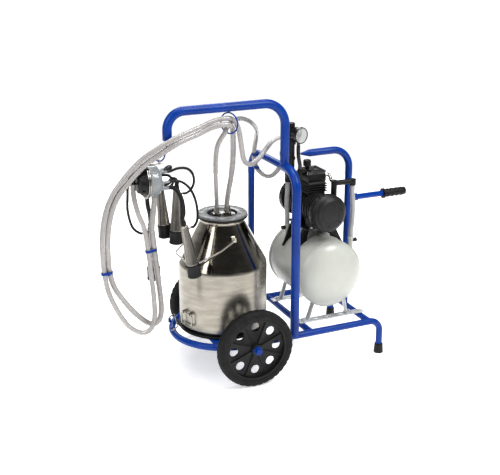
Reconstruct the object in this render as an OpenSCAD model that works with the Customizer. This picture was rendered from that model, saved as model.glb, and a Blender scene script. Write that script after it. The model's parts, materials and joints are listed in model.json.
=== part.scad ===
// Mobile milking machine: a tube trolley that carries a milk bucket, a vacuum
// tank with a twin-piston pump on top, and a hanging milking cluster.
// Millimetres, +Z up, +X from the bucket end to the pull handle, floor at z = 0.

/* [Frame] */
// Distance between the two base rails, centre to centre
rail_gap = 380; // [372:2:388]
// Height of the base rails' centre line above the floor
rail_z = 133; // [131:1:135]
// Outer diameter of the base, rear and far hoop tubes
tube_d = 25; // [24:0.5:26]
// Outer diameter of the near hoop leg and the tall arch
arch_d = 32; // [30:1:33]
// Distance from the bucket's axis to the hoop
hoop_x = 200; // [196:1:206]
// Height of the hoop's cross tube
hoop_z = 742; // [738:1:748]
// Height of the tall arch's top bar
arch_z = 972; // [968:1:980]
// Distance from the bucket's axis to the rear feet
foot_x = 560; // [556:1:564]
// Distance from the bucket's axis to the end of the pull handle
handle_end = 765; // [750:5:800]

/* [Wheels] */
// Outer diameter of the tyres
wheel_d = 282; // [276:2:286]
// Width of the tyres
tyre_w = 46; // [42:2:48]

/* [Bucket] */
// Outer diameter of the milk bucket
bucket_d = 320; // [312:2:320]
// Height of the shoulder where the cone starts
shoulder_z = 394; // [388:2:400]
// Height of the bucket's rolled lip
lip_z = 560; // [556:1:564]

/* [Tank and pump] */
// Outer diameter of the vacuum tank
tank_d = 250; // [244:2:250]
// Distance between the tank's two weld seams
tank_len = 250; // [244:2:250]
// Height of the tank's axis
tank_z = 325; // [323:1:327]
// Height of the pump shaft
pump_z = 560; // [558:1:562]

/* [Hidden] */
$fn = 48;

// Small gap that keeps separate pieces just clear of each other
gap = 0.3;
rail_y = rail_gap / 2;
tube_r = tube_d / 2;
arch_r = arch_d / 2;
rail_top = rail_z + tube_r;
wheel_r = wheel_d / 2;
bucket_r = bucket_d / 2;
tank_r = tank_d / 2;

// Everything is placed from the bucket's axis, then moved so that the origin
// is under the middle of the whole machine
claw_left = -371;
middle_x = (handle_end + claw_left) / 2;
module place() { translate([-middle_x, 0, 0]) children(); }

// ---- small building blocks -------------------------------------------------

module bar_x(x0, x1, y, z, r) { translate([x0, y, z]) rotate([0, 90, 0]) cylinder(h = x1 - x0, r = r); }
module bar_y(y0, y1, x, z, r) { translate([x, y0, z]) rotate([-90, 0, 0]) cylinder(h = y1 - y0, r = r); }
module bar_z(z0, z1, x, y, r) { translate([x, y, z0]) cylinder(h = z1 - z0, r = r); }

// Quarter bend of a round tube about the local Z axis
module bend(big, r, from = 0, turn = 90) {
    rotate([0, 0, from]) rotate_extrude(angle = turn, $fn = 96) translate([big, 0]) circle(r = r, $fn = 32);
}

// Straight rod between two points
module rod(a, b, r) {
    d = b - a;
    translate(a) rotate([0, acos(d[2] / norm(d)), atan2(d[1], d[0])]) cylinder(h = norm(d), r = r, $fn = 24);
}

// Wire bent through a list of points, with a small bead at each bend
bead = 0.2;
module wire(points, r, closed = false) {
    last = len(points) - 1;
    for (i = [0 : last - 1]) rod(points[i], points[i + 1], r);
    for (i = [closed ? 0 : 1 : last - 1]) translate(points[i]) sphere(r = r + bead, $fn = 24);
}

// Ring of outer radius big and wire radius r about the local Z axis
module ring(big, r) { rotate_extrude($fn = 64) translate([big, 0]) circle(r = r, $fn = 16); }

// Flat annular disc
module washer(outer, inner, h) {
    difference() {
        cylinder(h = h, r = outer);
        translate([0, 0, -1]) cylinder(h = h + 2, r = inner);
    }
}

// Hoses: one closed tube swept along route points, its rings kept from twisting
function unit(v) = v / norm(v);
function heading(p, i) = unit(p[min(i + 1, len(p) - 1)] - p[max(i - 1, 0)]);
function squared(t, n) = unit(n - (n * t) * t);
function sides(p, i, n) =
    i == len(p) ? [] : let (s = squared(heading(p, i), n)) concat([s], sides(p, i + 1, s));
function ring_point(c, a, b, r, q) = c + r * (cos(q) * a + sin(q) * b);
module swept(p, r, k = 10, first_side = [0, 1, 0]) {
    s = sides(p, 0, first_side);
    n = len(p);
    points = [for (i = [0 : n - 1]) for (j = [0 : k - 1])
        ring_point(p[i], s[i], cross(heading(p, i), s[i]), r, 360 * j / k)];
    start_cap = [[for (j = [0 : k - 1]) j]];
    end_cap = [[for (j = [k - 1 : -1 : 0]) (n - 1) * k + j]];
    walls = [for (i = [0 : n - 2]) for (j = [0 : k - 1]) for (half = [0, 1])
        let (a = i * k + j, b = i * k + (j + 1) % k)
        half == 0 ? [a, a + k, b + k] : [a, b + k, b]];
    polyhedron(points = points, faces = concat(start_cap, end_cap, walls));
}

// ---- frame -----------------------------------------------------------------

rail_bend = 45;
rail_end = foot_x - rail_bend;
foot_cap_h = 36;
foot_tube_z = 8;

// One bent tube: rear foot, rail, half ring round the bucket, rail, rear foot
module base_line(r) {
    translate([0, 0, rail_z]) bend(rail_y, r, 90, 180);
    for (s = [-1, 1]) {
        bar_x(0, rail_end, s * rail_y, rail_z, r);
        translate([rail_end, s * rail_y, rail_z - rail_bend]) rotate([90, 0, 0]) bend(rail_bend, r);
        bar_z(foot_tube_z, rail_z - rail_bend, foot_x, s * rail_y, r);
    }
}
module base_tube() { color("royalblue") base_line(tube_r); }

front_bar_x = 270;
rear_bar_x = 514;
// Two bars that join the rails, fish-mouthed on to them
module crossbars() {
    color("royalblue") for (x = [front_bar_x, rear_bar_x]) difference() {
        bar_y(-rail_y, rail_y, x, rail_z, tube_r - 0.5);
        base_line(tube_r + 0.1);
    }
}

hoop_bend = 70;
arch_y = -93;
// Near leg: thick tube up from the near rail, bent inwards under the arch post
module hoop_near_tube() {
    color("royalblue") difference() {
        union() {
            bar_z(rail_z, hoop_z - hoop_bend, hoop_x, -rail_y, arch_r);
            translate([hoop_x, -rail_y + hoop_bend, hoop_z - hoop_bend])
                rotate([90, 0, 90]) bend(hoop_bend, arch_r, 90);
            bar_y(-rail_y + hoop_bend, arch_y + arch_r, hoop_x, hoop_z, arch_r);
        }
        bar_x(hoop_x - 40, hoop_x + 40, -rail_y, rail_z, tube_r + 0.1);
    }
}

// Far leg: thinner tube that carries on across and down to the far rail
module hoop_far_tube() {
    color("royalblue") difference() {
        union() {
            bar_y(arch_y + arch_r + 0.1, rail_y - hoop_bend, hoop_x, hoop_z, tube_r);
            translate([hoop_x, rail_y - hoop_bend, hoop_z - hoop_bend])
                rotate([90, 0, 90]) bend(hoop_bend, tube_r);
            bar_z(rail_z, hoop_z - hoop_bend, hoop_x, rail_y, tube_r);
        }
        bar_x(hoop_x - 40, hoop_x + 40, rail_y, rail_z, tube_r + 0.1);
    }
}

arch_bend = 80;
nose_bend = 60;
nose_x = -232;
nose_z = 879;
// Tall arch: post on the hoop, top bar forward over the bucket, nose turned down
module arch_tube() {
    color("royalblue") difference() {
        union() {
            bar_z(hoop_z, arch_z - arch_bend, hoop_x, arch_y, arch_r);
            translate([hoop_x - arch_bend, arch_y, arch_z - arch_bend])
                rotate([90, 0, 0]) bend(arch_bend, arch_r);
            bar_x(nose_x + nose_bend, hoop_x - arch_bend, arch_y, arch_z, arch_r);
            translate([nose_x + nose_bend, arch_y, arch_z - nose_bend])
                rotate([90, 0, 0]) bend(nose_bend, arch_r, 90);
            bar_z(nose_z, arch_z - nose_bend, nose_x, arch_y, arch_r);
        }
        bar_y(arch_y - 60, arch_y + 60, hoop_x, hoop_z, arch_r + 0.1);
    }
}

rear_arch_r = 13.5;
rear_arch_x = rear_bar_x;
rear_arch_z = 757;
rear_bend = 70;
rear_tip_x = 312;
// Rear arch: up from the rear crossbar and forward over the pump to a pinched tip
module rear_arch_tube() {
    color("royalblue") difference() {
        union() {
            bar_z(rail_z, rear_arch_z - rear_bend, rear_arch_x, 0, rear_arch_r);
            translate([rear_arch_x - rear_bend, 0, rear_arch_z - rear_bend])
                rotate([90, 0, 0]) bend(rear_bend, rear_arch_r);
            bar_x(rear_tip_x + 34, rear_arch_x - rear_bend, 0, rear_arch_z, rear_arch_r);
            translate([rear_tip_x, 0, rear_arch_z]) rotate([0, 90, 0])
                cylinder(h = 34, r1 = 4, r2 = rear_arch_r);
        }
        bar_y(-40, 40, rear_arch_x, rail_z, tube_r - 0.4);
    }
}

axle_x = 20;
axle_r = 10;
stub_r = 8;
disc_y = 244;
hub_in = 214;
hub_out = 262;
// Two axle stubs welded to the outside of the rails
module axle_stubs() {
    color("royalblue") for (s = [-1, 1]) difference() {
        union() {
            on_axle(s) translate([0, 0, rail_y]) cylinder(h = hub_in - 1 - rail_y, r = axle_r);
            on_axle(s) translate([0, 0, rail_y]) cylinder(h = hub_out + 14 - rail_y, r = stub_r);
        }
        bar_x(axle_x - 40, axle_x + 40, s * rail_y, rail_z, tube_r + 0.1);
    }
}

strap_h = 4;
mat_z = rail_top + strap_h + 0.5;
mat_h = 9;
bucket_z = mat_z + mat_h;
latch_at = 165;
latch_r = rail_y + 6;
latch_z = rail_top + 9;
// Flat straps under the bucket and the drilled lug of the wire latch
module cradle_straps() {
    color("royalblue") {
        for (x = [-90, 60]) translate([x - 15, -rail_y, rail_top + 0.2]) cube([30, 2 * rail_y, strap_h]);
        rotate([0, 0, latch_at]) for (s = [-1, 1]) difference() {
            translate([latch_r - 5, s * 40 - 4, rail_top - 1.5]) cube([10, 8, 16]);
            bar_y(-60, 60, latch_r, latch_z, 2.6);
            translate([0, 0, rail_z]) bend(rail_y, tube_r + 0.1, -30, 60);
        }
    }
}

module bucket_mat() {
    color("#202020") translate([0, 0, mat_z]) difference() {
        cylinder(h = mat_h - 0.1, r = bucket_r + 4, $fn = 96);
        translate([0, 0, -1]) cylinder(h = mat_h + 2, r = 60);
    }
}

plate_y = 115;
plate_w = 32;
plate_h = 4;
plate_z = rail_top + 0.2;
slot_step = 52;
// Two slotted flat bars that the tank stands on
module tank_rails() {
    color("gainsboro") for (s = [-1, 1]) difference() {
        translate([front_bar_x - 14, s * plate_y - plate_w / 2, plate_z])
            cube([rear_bar_x - front_bar_x + 28, plate_w, plate_h]);
        for (x = [front_bar_x + 50 : slot_step : rear_bar_x - 70]) {
            for (e = [0, 14]) bar_z(plate_z - 1, plate_z + plate_h + 1, x + e, s * plate_y, 4.5);
            translate([x, s * plate_y - 4.5, plate_z - 1]) cube([14, 9, plate_h + 2]);
        }
    }
}

handle_z = 565;
handle_r = 11;
grip_len = 92;
collar_x = rear_arch_x + rear_arch_r;
module handle_tube() {
    color("royalblue") difference() {
        union() {
            bar_x(rear_arch_x, handle_end - 4, 0, handle_z, handle_r);
            bar_x(rear_arch_x, collar_x + 26, 0, handle_z, handle_r + 3);
        }
        bar_z(handle_z - 40, handle_z + 40, rear_arch_x, 0, rear_arch_r + 0.1);
    }
}

// Rubber grip: flange, finger grooves and a closed end
module handle_grip() {
    color("#1c1c1c") difference() {
        union() {
            bar_x(handle_end - grip_len, handle_end, 0, handle_z, 15);
            bar_x(handle_end - grip_len - 6, handle_end - grip_len, 0, handle_z, 20);
            for (k = [0 : 3]) bar_x(handle_end - 20 - 20 * k, handle_end - 12 - 20 * k, 0, handle_z, 16.5);
        }
        bar_x(handle_end - grip_len - 10, handle_end - 3.9, 0, handle_z, handle_r + 0.05);
    }
}

module foot_caps() {
    color("#1c1c1c") for (s = [-1, 1]) translate([foot_x, s * rail_y, 0]) difference() {
        cylinder(h = foot_cap_h, r1 = 18, r2 = 16);
        translate([0, 0, foot_tube_z - 0.1]) cylinder(h = foot_cap_h, r = tube_r + 0.1);
    }
}

hook_r = 2.5;
hook_low = [-262, arch_y, 811];
// Wire hook under the arch's nose that the claw hangs from
module claw_hook() {
    color("royalblue") wire([
        [nose_x, arch_y, nose_z - hook_r - 0.1],
        [-236, arch_y, 852],
        [-243, arch_y, 826],
        [-251, arch_y, 814],
        hook_low,
        [-272, arch_y, 816],
        [-276, arch_y, 828]
    ], hook_r);
}

hose_ring_x = -10;
hose_ring_big = 35.5;
hose_ring_z = arch_z - arch_r - hose_ring_big - 3.5;
// Ring under the top bar that gathers the hoses, on a short welded stem
module hose_ring() {
    color("royalblue") translate([hose_ring_x, arch_y, 0]) {
        translate([0, 0, hose_ring_z]) rotate([0, 90, 30]) ring(hose_ring_big, 2.5);
        bar_z(hose_ring_z + hose_ring_big, arch_z - arch_r - 0.2, 0, 0, 2.5);
    }
}

// ---- wheels ----------------------------------------------------------------

rim_r = 112;
hole_pitch_r = 81;
hole_r = 16.5;
wheel_holes = 8;
tyre_out = disc_y + 20;
tyre_in = tyre_out - tyre_w;

// Wheel turned about the local Z axis, its outer face towards +Z
module wheel_body() {
    difference() {
        union() {
            translate([0, 0, tyre_in + 3]) washer(rim_r, rim_r - 6, tyre_w - 6);
            translate([0, 0, disc_y - 8]) cylinder(h = 8, r = rim_r - 5.5, $fn = 96);
            translate([0, 0, hub_in]) cylinder(h = hub_out - hub_in, r = 21);
            for (k = [0 : wheel_holes - 1]) rotate([0, 0, 360 * (k + 0.5) / wheel_holes])
                translate([20, -2.5, disc_y - 14]) cube([rim_r - 25, 5, 20]);
        }
        translate([0, 0, hub_in - 1]) cylinder(h = hub_out - hub_in + 2, r = stub_r + 0.05);
        for (k = [0 : wheel_holes - 1]) rotate([0, 0, 360 * k / wheel_holes])
            translate([hole_pitch_r, 0, disc_y - 20]) cylinder(h = 40, r = hole_r);
    }
}

// Solid tyre with rounded shoulders and a tread groove
module tyre_body() {
    round_r = 9;
    rotate_extrude($fn = 128) difference() {
        union() {
            translate([rim_r + 0.1, tyre_in]) square([wheel_r - rim_r - 0.1 - round_r, tyre_w]);
            translate([rim_r + 0.1, tyre_in + round_r]) square([wheel_r - rim_r - 0.1, tyre_w - 2 * round_r]);
            for (e = [round_r, tyre_w - round_r])
                translate([wheel_r - round_r, tyre_in + e]) circle(r = round_r);
        }
        for (e = [0.36, 0.64]) translate([wheel_r - 2, tyre_in + e * tyre_w - 1.5]) square([3, 3]);
    }
}

module on_axle(s) { translate([axle_x, 0, wheel_r]) rotate([90 * -s, 0, 0]) children(); }
module wheel_near() { color("#161616") on_axle(-1) wheel_body(); }
module wheel_far() { color("#161616") on_axle(1) wheel_body(); }
module tyre_near() { color("#2b2b2a") on_axle(-1) tyre_body(); }
module tyre_far() { color("#2b2b2a") on_axle(1) tyre_body(); }

// Caps that hold the wheels on their stubs
module axle_caps() {
    color("royalblue") for (s = [-1, 1]) on_axle(s) translate([0, 0, hub_out + gap]) difference() {
        union() {
            cylinder(h = 4, r = 15);
            cylinder(h = 17, r1 = 12.5, r2 = 11);
        }
        translate([0, 0, -1]) cylinder(h = 15.1, r = stub_r + 0.1);
    }
}

// ---- bucket ----------------------------------------------------------------

neck_r = 80;
neck_z = lip_z - 12;
wall = 1.5;
foot_round = 12;

// Outline of the bucket's half section, drawn inwards by t and open at the top
function bucket_line(t, top) = concat(
    [[0, bucket_z + t]],
    [for (a = [-90 : 15 : 0])
        [bucket_r - foot_round + (foot_round - t) * cos(a), bucket_z + foot_round + (foot_round - t) * sin(a)]],
    [[bucket_r - t, shoulder_z], [neck_r - t, neck_z], [neck_r - t, top], [0, top]]
);
module bucket() {
    color("silver") {
        rotate_extrude($fn = 128) difference() {
            polygon(bucket_line(0, lip_z + wall));
            polygon(bucket_line(wall, lip_z + 10));
        }
        translate([0, 0, lip_z - 2]) washer(neck_r + 8, neck_r - 0.5, 3.5);
    }
}

lid_r = 90;
gasket_z = lip_z + wall + gap;
gasket_h = 7;
lid_z = gasket_z + gasket_h + 0.1;
lid_h = 7;
dish_r = 56;
dish_deep = 10;
dish_top = lid_z + lid_h - dish_deep;
// Clear lid: flat rim with a shallow dish in the middle
module bucket_lid() {
    color("#a8adb0") rotate_extrude($fn = 96) polygon([
        [0, lid_z - dish_deep],
        [dish_r - 4, lid_z - dish_deep],
        [dish_r, lid_z],
        [lid_r, lid_z],
        [lid_r, lid_z + lid_h - 2],
        [lid_r - 2, lid_z + lid_h],
        [dish_r + 3, lid_z + lid_h],
        [dish_r - 9, dish_top],
        [0, dish_top]
    ]);
}
module lid_gasket() {
    color("#1a1a1a") translate([0, 0, gasket_z]) washer(lid_r + 1, neck_r - 8, gasket_h);
}

milk_d = 19;
pulse_d = 17;
vacuum_d = 16;
milk_port = [23, 10];
vacuum_port = [-17, 10];
nipple_z = 592;
module lid_nipples() {
    color("#b9bcc0") for (q = [[milk_port, milk_d], [vacuum_port, vacuum_d]])
        translate([q[0][0], q[0][1], dish_top + 0.1]) {
            cylinder(h = 5, r = q[1] / 2 + 5);
            cylinder(h = nipple_z - dish_top - 0.1, r = q[1] / 2 + 1);
        }
}

bail_x = -4;
bail_y = 122;
bail_z = 505;
bail_r = 3;
bail_lean = 30.5;
// Carrying wire, resting on the shoulder of the bucket
module bucket_bail() {
    color("gainsboro") translate([bail_x, 0, bail_z]) rotate([0, -bail_lean, 0]) swept([
        [0, -bail_y + 14, 0],
        [0, -bail_y + 4, 0],
        [-4, -bail_y, 0],
        [-62, -bail_y, 0],
        [-68, -bail_y + 2, 0],
        [-166, -84, 0],
        [-172, -76, 0],
        [-172, 76, 0],
        [-166, 84, 0],
        [-68, bail_y - 2, 0],
        [-62, bail_y, 0],
        [-4, bail_y, 0],
        [0, bail_y - 4, 0],
        [0, bail_y - 14, 0]
    ], bail_r, 10, [0, 0, 1]);
}

loop_at = 196;
loop_r = bucket_r + 8;
loop_z = 231;
// Welded ears for the bail and the tipping loop
module bucket_lugs() {
    color("silver") {
        for (s = [-1, 1]) difference() {
            translate([bail_x - 9, min(s * 96, s * 116), bail_z - 9]) cube([18, 20, 18]);
            bar_y(-140, 140, bail_x, bail_z, bail_r + 0.05);
            rotate_extrude() polygon([
                [0, shoulder_z], [bucket_r + 0.1, shoulder_z], [neck_r + 0.1, neck_z], [0, neck_z]
            ]);
        }
        rotate([0, 0, loop_at]) for (s = [-1, 1]) difference() {
            translate([bucket_r - 3, s * 18 - 3, loop_z - 5]) cube([16, 6, 10]);
            bar_y(-40, 40, loop_r, loop_z, 2.55);
            cylinder(h = 400, r = bucket_r + 0.1, $fn = 128);
        }
    }
}

// Small wire loop low on the bucket, used to tip it when pouring
module tipping_loop() {
    color("gainsboro") rotate([0, 0, loop_at]) translate([loop_r, 0, loop_z]) wire([
        [0, -30, 0],
        [0, 30, 0],
        [0, 30, -48],
        [0, -30, -48],
        [0, -30, 0]
    ], 2.5, true);
}

// Wire latch on the ring that leans on the bucket's foot
module latch_wire() {
    color("gainsboro") rotate([0, 0, latch_at]) translate([latch_r, 0, latch_z]) swept([
        [0, -30, 0],
        [0, -58, 0],
        [-2, -62, 1],
        [-19, -60, 12],
        [-22, -56, 14],
        [-22, 56, 14],
        [-19, 60, 12],
        [-2, 62, 1],
        [0, 58, 0],
        [0, 30, 0]
    ], 2.5, 10, [0, 0, 1]);
}

// ---- tank ------------------------------------------------------------------

tank_x = 374;
dome = 52;
tank_wall = 2.5;
seam_w = 12;

// Half section of the tank, drawn inwards by t, along the local Z axis
function tank_line(t) = concat(
    [for (a = [-90 : 10 : 0]) [(tank_r - t) * cos(a), -tank_len / 2 + (dome - t) * sin(a)]],
    [for (a = [0 : 10 : 90]) [(tank_r - t) * cos(a), tank_len / 2 + (dome - t) * sin(a)]]
);
module tank_space(t) {
    translate([tank_x, 0, tank_z]) rotate([90, 0, 0]) rotate_extrude($fn = 96) polygon(tank_line(t));
}
module tank_shell() {
    color("whitesmoke") {
        difference() {
            tank_space(0);
            tank_space(tank_wall);
        }
        for (s = [-1, 1]) translate([tank_x, s * tank_len / 2 + seam_w / 2, tank_z])
            rotate([90, 0, 0]) washer(tank_r + 1.5, tank_r - 1, seam_w);
    }
}

leg_y = 113;
leg_w = 26;
leg_t = 4;
leg_base = plate_z + plate_h + 0.1;
// One sheet leg: splayed plate coped to the tank, with a turned-out foot
module tank_leg(top_x, low_x, y) {
    lean = atan2(top_x - low_x, 105);
    out = low_x < tank_x ? -1 : 1;
    difference() {
        union() {
            translate([low_x, y - leg_w / 2 + 0.5, leg_base + 2]) rotate([0, lean, 0])
                translate([-leg_t / 2, 0, 0]) cube([leg_t, leg_w - 1, 120]);
            translate([out > 0 ? low_x - 4 : low_x - 22, y - leg_w / 2, leg_base])
                cube([26, leg_w, leg_t]);
        }
        translate([tank_x, 0, tank_z]) rotate([90, 0, 0]) cylinder(h = 400, r = tank_r + 1.7, center = true);
    }
}
module tank_legs() {
    color("gainsboro") for (s = [-1, 1]) {
        tank_leg(326, 293, s * leg_y);
        tank_leg(434, 456, s * leg_y);
    }
}

// Two sockets on the tank's shoulders that the suction hoses run down to
near_hose = [486, -80];
far_hose = [290, 60];
near_port_z = 440;
far_port_z = 476;
module tank_ports() {
    color("whitesmoke") difference() {
        union() {
            bar_z(tank_z, near_port_z, near_hose[0], near_hose[1], 9);
            bar_z(tank_z, far_port_z, far_hose[0], far_hose[1], 9);
        }
        bar_y(-200, 200, tank_x, tank_z, tank_r + 0.1);
        bar_x(near_hose[0], near_hose[0] + 40, near_hose[1], near_port_z - 14, 4.05);
        bar_x(far_hose[0] - 40, far_hose[0], far_hose[1], far_port_z - 14, 4.05);
    }
}

cradle_z = 486;
cradle_half = 47;
// Black bridge between tank and pump: a plate on four side gussets
module pump_cradle() {
    color("#181818") difference() {
        union() {
            translate([300, -72, cradle_z]) cube([130, 144, 4]);
            for (s = [-1, 1]) translate([0, s * cradle_half + 2, 0]) rotate([90, 0, 0])
                linear_extrude(height = 4) {
                    polygon([[404, cradle_z + 1], [430, cradle_z + 1], [478, 395], [430, 395]]);
                    polygon([[326, cradle_z + 1], [300, cradle_z + 1], [262, 395], [310, 395]]);
                }
        }
        bar_y(-200, 200, tank_x, tank_z, tank_r + 0.2);
    }
}

// ---- pump ------------------------------------------------------------------

pump_x = 360;
body_r = 54;
body_half = 110;
cover_r = 70;
cover_deep = 44;
bore_half = 20;
bore_r = 16;
module on_shaft() { translate([pump_x, 0, pump_z]) rotate([90, 0, 0]) children(); }

// Ribbed casting on two feet, open at the top for the cylinders
module pump_housing() {
    color("#1b1b1c") difference() {
        union() {
            on_shaft() translate([0, 0, -body_half]) cylinder(h = 2 * body_half, r = body_r);
            for (y = [-100 : 20 : 100]) on_shaft() translate([0, 0, y - 2]) cylinder(h = 4, r = body_r + 4);
            for (s = [-1, 1]) translate([pump_x - 45, s * 50 - 12, cradle_z + 4.1]) cube([90, 24, 34]);
        }
        on_shaft() translate([0, 0, -body_half - 1]) cylinder(h = 2 * body_half + 2, r = body_r - 4);
        translate([pump_x - 36, -41, pump_z]) cube([72, 82, 80]);
    }
}
module motor_stator() {
    color("#7a4a2a") on_shaft() translate([0, 0, 48]) washer(body_r - 4.2, 30, 52);
}
module rotor_shaft() {
    color("#8d9094") on_shaft() {
        translate([0, 0, -148]) cylinder(h = 296, r = 6);
        translate([0, 0, 50]) cylinder(h = 48, r = 28);
    }
}
module cooling_fans() {
    color("#2a2a2a") for (s = [-1, 1]) on_shaft() translate([0, 0, s * 132 - 9]) difference() {
        union() {
            cylinder(h = 18, r = 16);
            for (k = [0 : 6]) rotate([0, 0, 360 * k / 7]) translate([12, -1.5, 0])
                rotate([20, 0, 0]) cube([44, 3, 16]);
        }
        translate([0, 0, -1]) cylinder(h = 20, r = 6.05);
    }
}
module shaft_bearings() {
    color("#a8abb0") for (s = [-1, 1]) on_shaft() translate([0, 0, s * 106 - 4]) difference() {
        cylinder(h = 8, r = body_r - 4.2);
        translate([0, 0, -1]) cylinder(h = 10, r = 6.05);
        for (k = [0 : 5]) rotate([0, 0, 60 * k]) translate([32, 0, -1]) cylinder(h = 10, r = 9);
    }
}

// Dished fan cover with a raised middle and vent slots round its rim
module end_cover() {
    difference() {
        rotate_extrude($fn = 96) polygon([
            [0, cover_deep],
            [51, cover_deep],
            [54, cover_deep - 4],
            [62, cover_deep - 8],
            [cover_r, cover_deep - 20],
            [cover_r, 0],
            [cover_r - 3, 0],
            [cover_r - 3, cover_deep - 21],
            [60, cover_deep - 12],
            [52, cover_deep - 8],
            [49, cover_deep - 4],
            [0, cover_deep - 4]
        ]);
        for (k = [0 : 23]) rotate([0, 0, 15 * k]) translate([cover_r - 6, -2, 6]) cube([12, 4, 14]);
    }
    washer(cover_r - 2.5, body_r - 8, 3);
}
module end_cover_near() { color("#1d1d1e") on_shaft() translate([0, 0, body_half + gap]) end_cover(); }
module end_cover_far() {
    color("#1d1d1e") on_shaft() rotate([180, 0, 0]) translate([0, 0, body_half + gap]) end_cover();
}

block_z = pump_z + 44;
head_z = 656;
head_h = 40;
// Finned block with two bores, on top of the housing
module cylinder_block() {
    color("#1b1b1c") difference() {
        union() {
            translate([pump_x - 34, -39, block_z]) cube([68, 78, head_z - block_z - gap]);
            for (k = [0 : 3]) translate([pump_x - 40, -45, block_z + 14 + 9 * k]) cube([80, 90, 3.5]);
        }
        for (s = [-1, 1]) bar_z(block_z - 1, head_z + 1, pump_x, s * bore_half, bore_r);
    }
}
piston_z = 630;
// One-piece piston and rod, twice, with the rod's eye open round the shaft
module wobble_pistons() {
    color("#b4b6ba") for (s = [-1, 1]) {
        bar_z(piston_z, piston_z + 8, pump_x, s * bore_half, bore_r - 0.06);
        translate([pump_x - 4, s * bore_half - 4, pump_z + 22]) cube([8, 8, piston_z - pump_z - 22]);
        translate([pump_x, s * bore_half + 4, pump_z]) rotate([90, 0, 0]) washer(24, 15, 8);
    }
}

// Head with fins along its top and two valve-cover bosses
module cylinder_head() {
    color("#1f1f20") difference() {
        union() {
            translate([pump_x - 36, -40, head_z]) cube([72, 80, head_h - 12]);
            for (k = [0 : 7]) translate([pump_x - 35, -38.5 + 10.4 * k, head_z]) cube([70, 4, head_h]);
            for (s = [-1, 1]) bar_z(head_z, head_z + head_h + 2, pump_x + 8, s * bore_half, 13);
        }
        for (s = [-1, 1]) bar_z(head_z - 1, head_z + 12, pump_x, s * bore_half, 12);
    }
}
module inlet_filter() {
    color("#151515") translate([pump_x - 22, 0, head_z + head_h + gap]) {
        cylinder(h = 14, r = 8);
        translate([0, 0, 14]) cylinder(h = 18, r = 14.5);
        translate([0, 0, 32]) cylinder(h = 4, r1 = 14.5, r2 = 11);
    }
}

pipe_z = 655;
elbow_z = 640;
riser_x = 408;
// Bright pipe from the head round to the black manifold
module head_pipe() {
    color("silver") swept([
        [396.3, -30, 678],
        [401, -30, 678],
        [409, -33, 676],
        [412, -40, 671],
        [411, -48, 665],
        [408, -56, 661],
        [408, -62, 660],
        [408, -68.9, 660]
    ], 6, 12);
}
// Black pipe runs: up from the housing, along, and down to each grey hose
module suction_manifolds() {
    color("#161616") {
        difference() {
            union() {
                bar_z(pump_z + 20, pipe_z + 12, riser_x, near_hose[1], 11);
                bar_x(riser_x, near_hose[0], near_hose[1], pipe_z, 10);
                bar_z(elbow_z, pipe_z + 8, near_hose[0], near_hose[1], 12);
            }
            on_shaft() cylinder(h = 400, r = body_r + 4.2, center = true);
        }
        difference() {
            union() {
                bar_x(far_hose[0], pump_x - 36.3, 30, 672, 8);
                bar_y(30, far_hose[1], far_hose[0], 672, 8);
                bar_z(elbow_z, 672 + 10, far_hose[0], far_hose[1], 12);
            }
            translate([pump_x - 36.2, -60, 640]) cube([90, 120, 60]);
        }
    }
}
// Grey hoses from the manifolds down to the tank's two sockets
module suction_hoses() {
    color("#b5b6b4") {
        swept([
            [near_hose[0], near_hose[1], elbow_z],
            [near_hose[0], near_hose[1], 615],
            [near_hose[0] + 3, near_hose[1] - 2, 570],
            [near_hose[0] + 3, near_hose[1] - 2, 510],
            [near_hose[0], near_hose[1], 465],
            [near_hose[0], near_hose[1], near_port_z]
        ], 9, 12);
        swept([
            [far_hose[0], far_hose[1], elbow_z],
            [far_hose[0], far_hose[1], 615],
            [far_hose[0] - 2, far_hose[1] + 1, 560],
            [far_hose[0], far_hose[1], 505],
            [far_hose[0], far_hose[1], far_port_z]
        ], 9, 12);
    }
}

// Shut-off tap: spindle in the socket, with a wing knob outside
module tap() {
    cylinder(h = 16, r = 4);
    translate([0, 0, 10]) cylinder(h = 12, r = 7.5);
    translate([-3, -11, 13]) cube([6, 22, 8]);
}
module tap_near() {
    color("#1a1a1a") translate([near_hose[0], near_hose[1], near_port_z - 14]) rotate([0, 90, 0])
        translate([0, 0, 1]) tap();
}
module tap_far() {
    color("#1a1a1a") translate([far_hose[0], far_hose[1], far_port_z - 14]) rotate([0, -90, 0])
        translate([0, 0, 1]) tap();
}

// ---- vacuum regulator and gauge ---------------------------------------------

reg_x = 262;
reg_y = -8;
reg_r = 18;
reg_low = 704;
base_z = 688;
reg_high = 862;
port_end = 232;
pulse_z = 828;
elbow_drop = 762;
port_bend = 12;
vacuum_r = vacuum_d / 2 + 1;
stem_foot = [287, -42, 712];
// Column with the pulse nozzle and the vacuum elbow, carried on the pump's head
module regulator_body() {
    color("#141414") difference() {
        union() {
            bar_z(reg_low, reg_high, reg_x, reg_y, reg_r);
            bar_z(reg_high - 62, reg_high - 18, reg_x, reg_y, reg_r + 4);
            bar_z(reg_low + 40, reg_low + 48, reg_x, reg_y, reg_r + 3);
            bar_x(port_end, reg_x, reg_y, pulse_z, pulse_d / 2 + 1);
            bar_x(port_end + port_bend, reg_x, reg_y, elbow_drop + 8 + port_bend, vacuum_r);
            translate([port_end + port_bend, reg_y, elbow_drop + 8])
                rotate([90, 0, 0]) bend(port_bend, vacuum_r, 90);
            bar_z(elbow_drop, elbow_drop + 8, port_end, reg_y, vacuum_r);
            bar_z(base_z - 12, reg_low + 1, reg_x, reg_y, 14);
            bar_x(reg_x, pump_x - 36.3, reg_y, base_z, 10);
            bar_y(stem_foot[1], reg_y, stem_foot[0], base_z, 8);
            bar_z(base_z - 10, stem_foot[2], stem_foot[0], stem_foot[1], 9);
        }
        bar_z(reg_high - 12, reg_high + 1, reg_x, reg_y, 6.05);
    }
}
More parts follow.
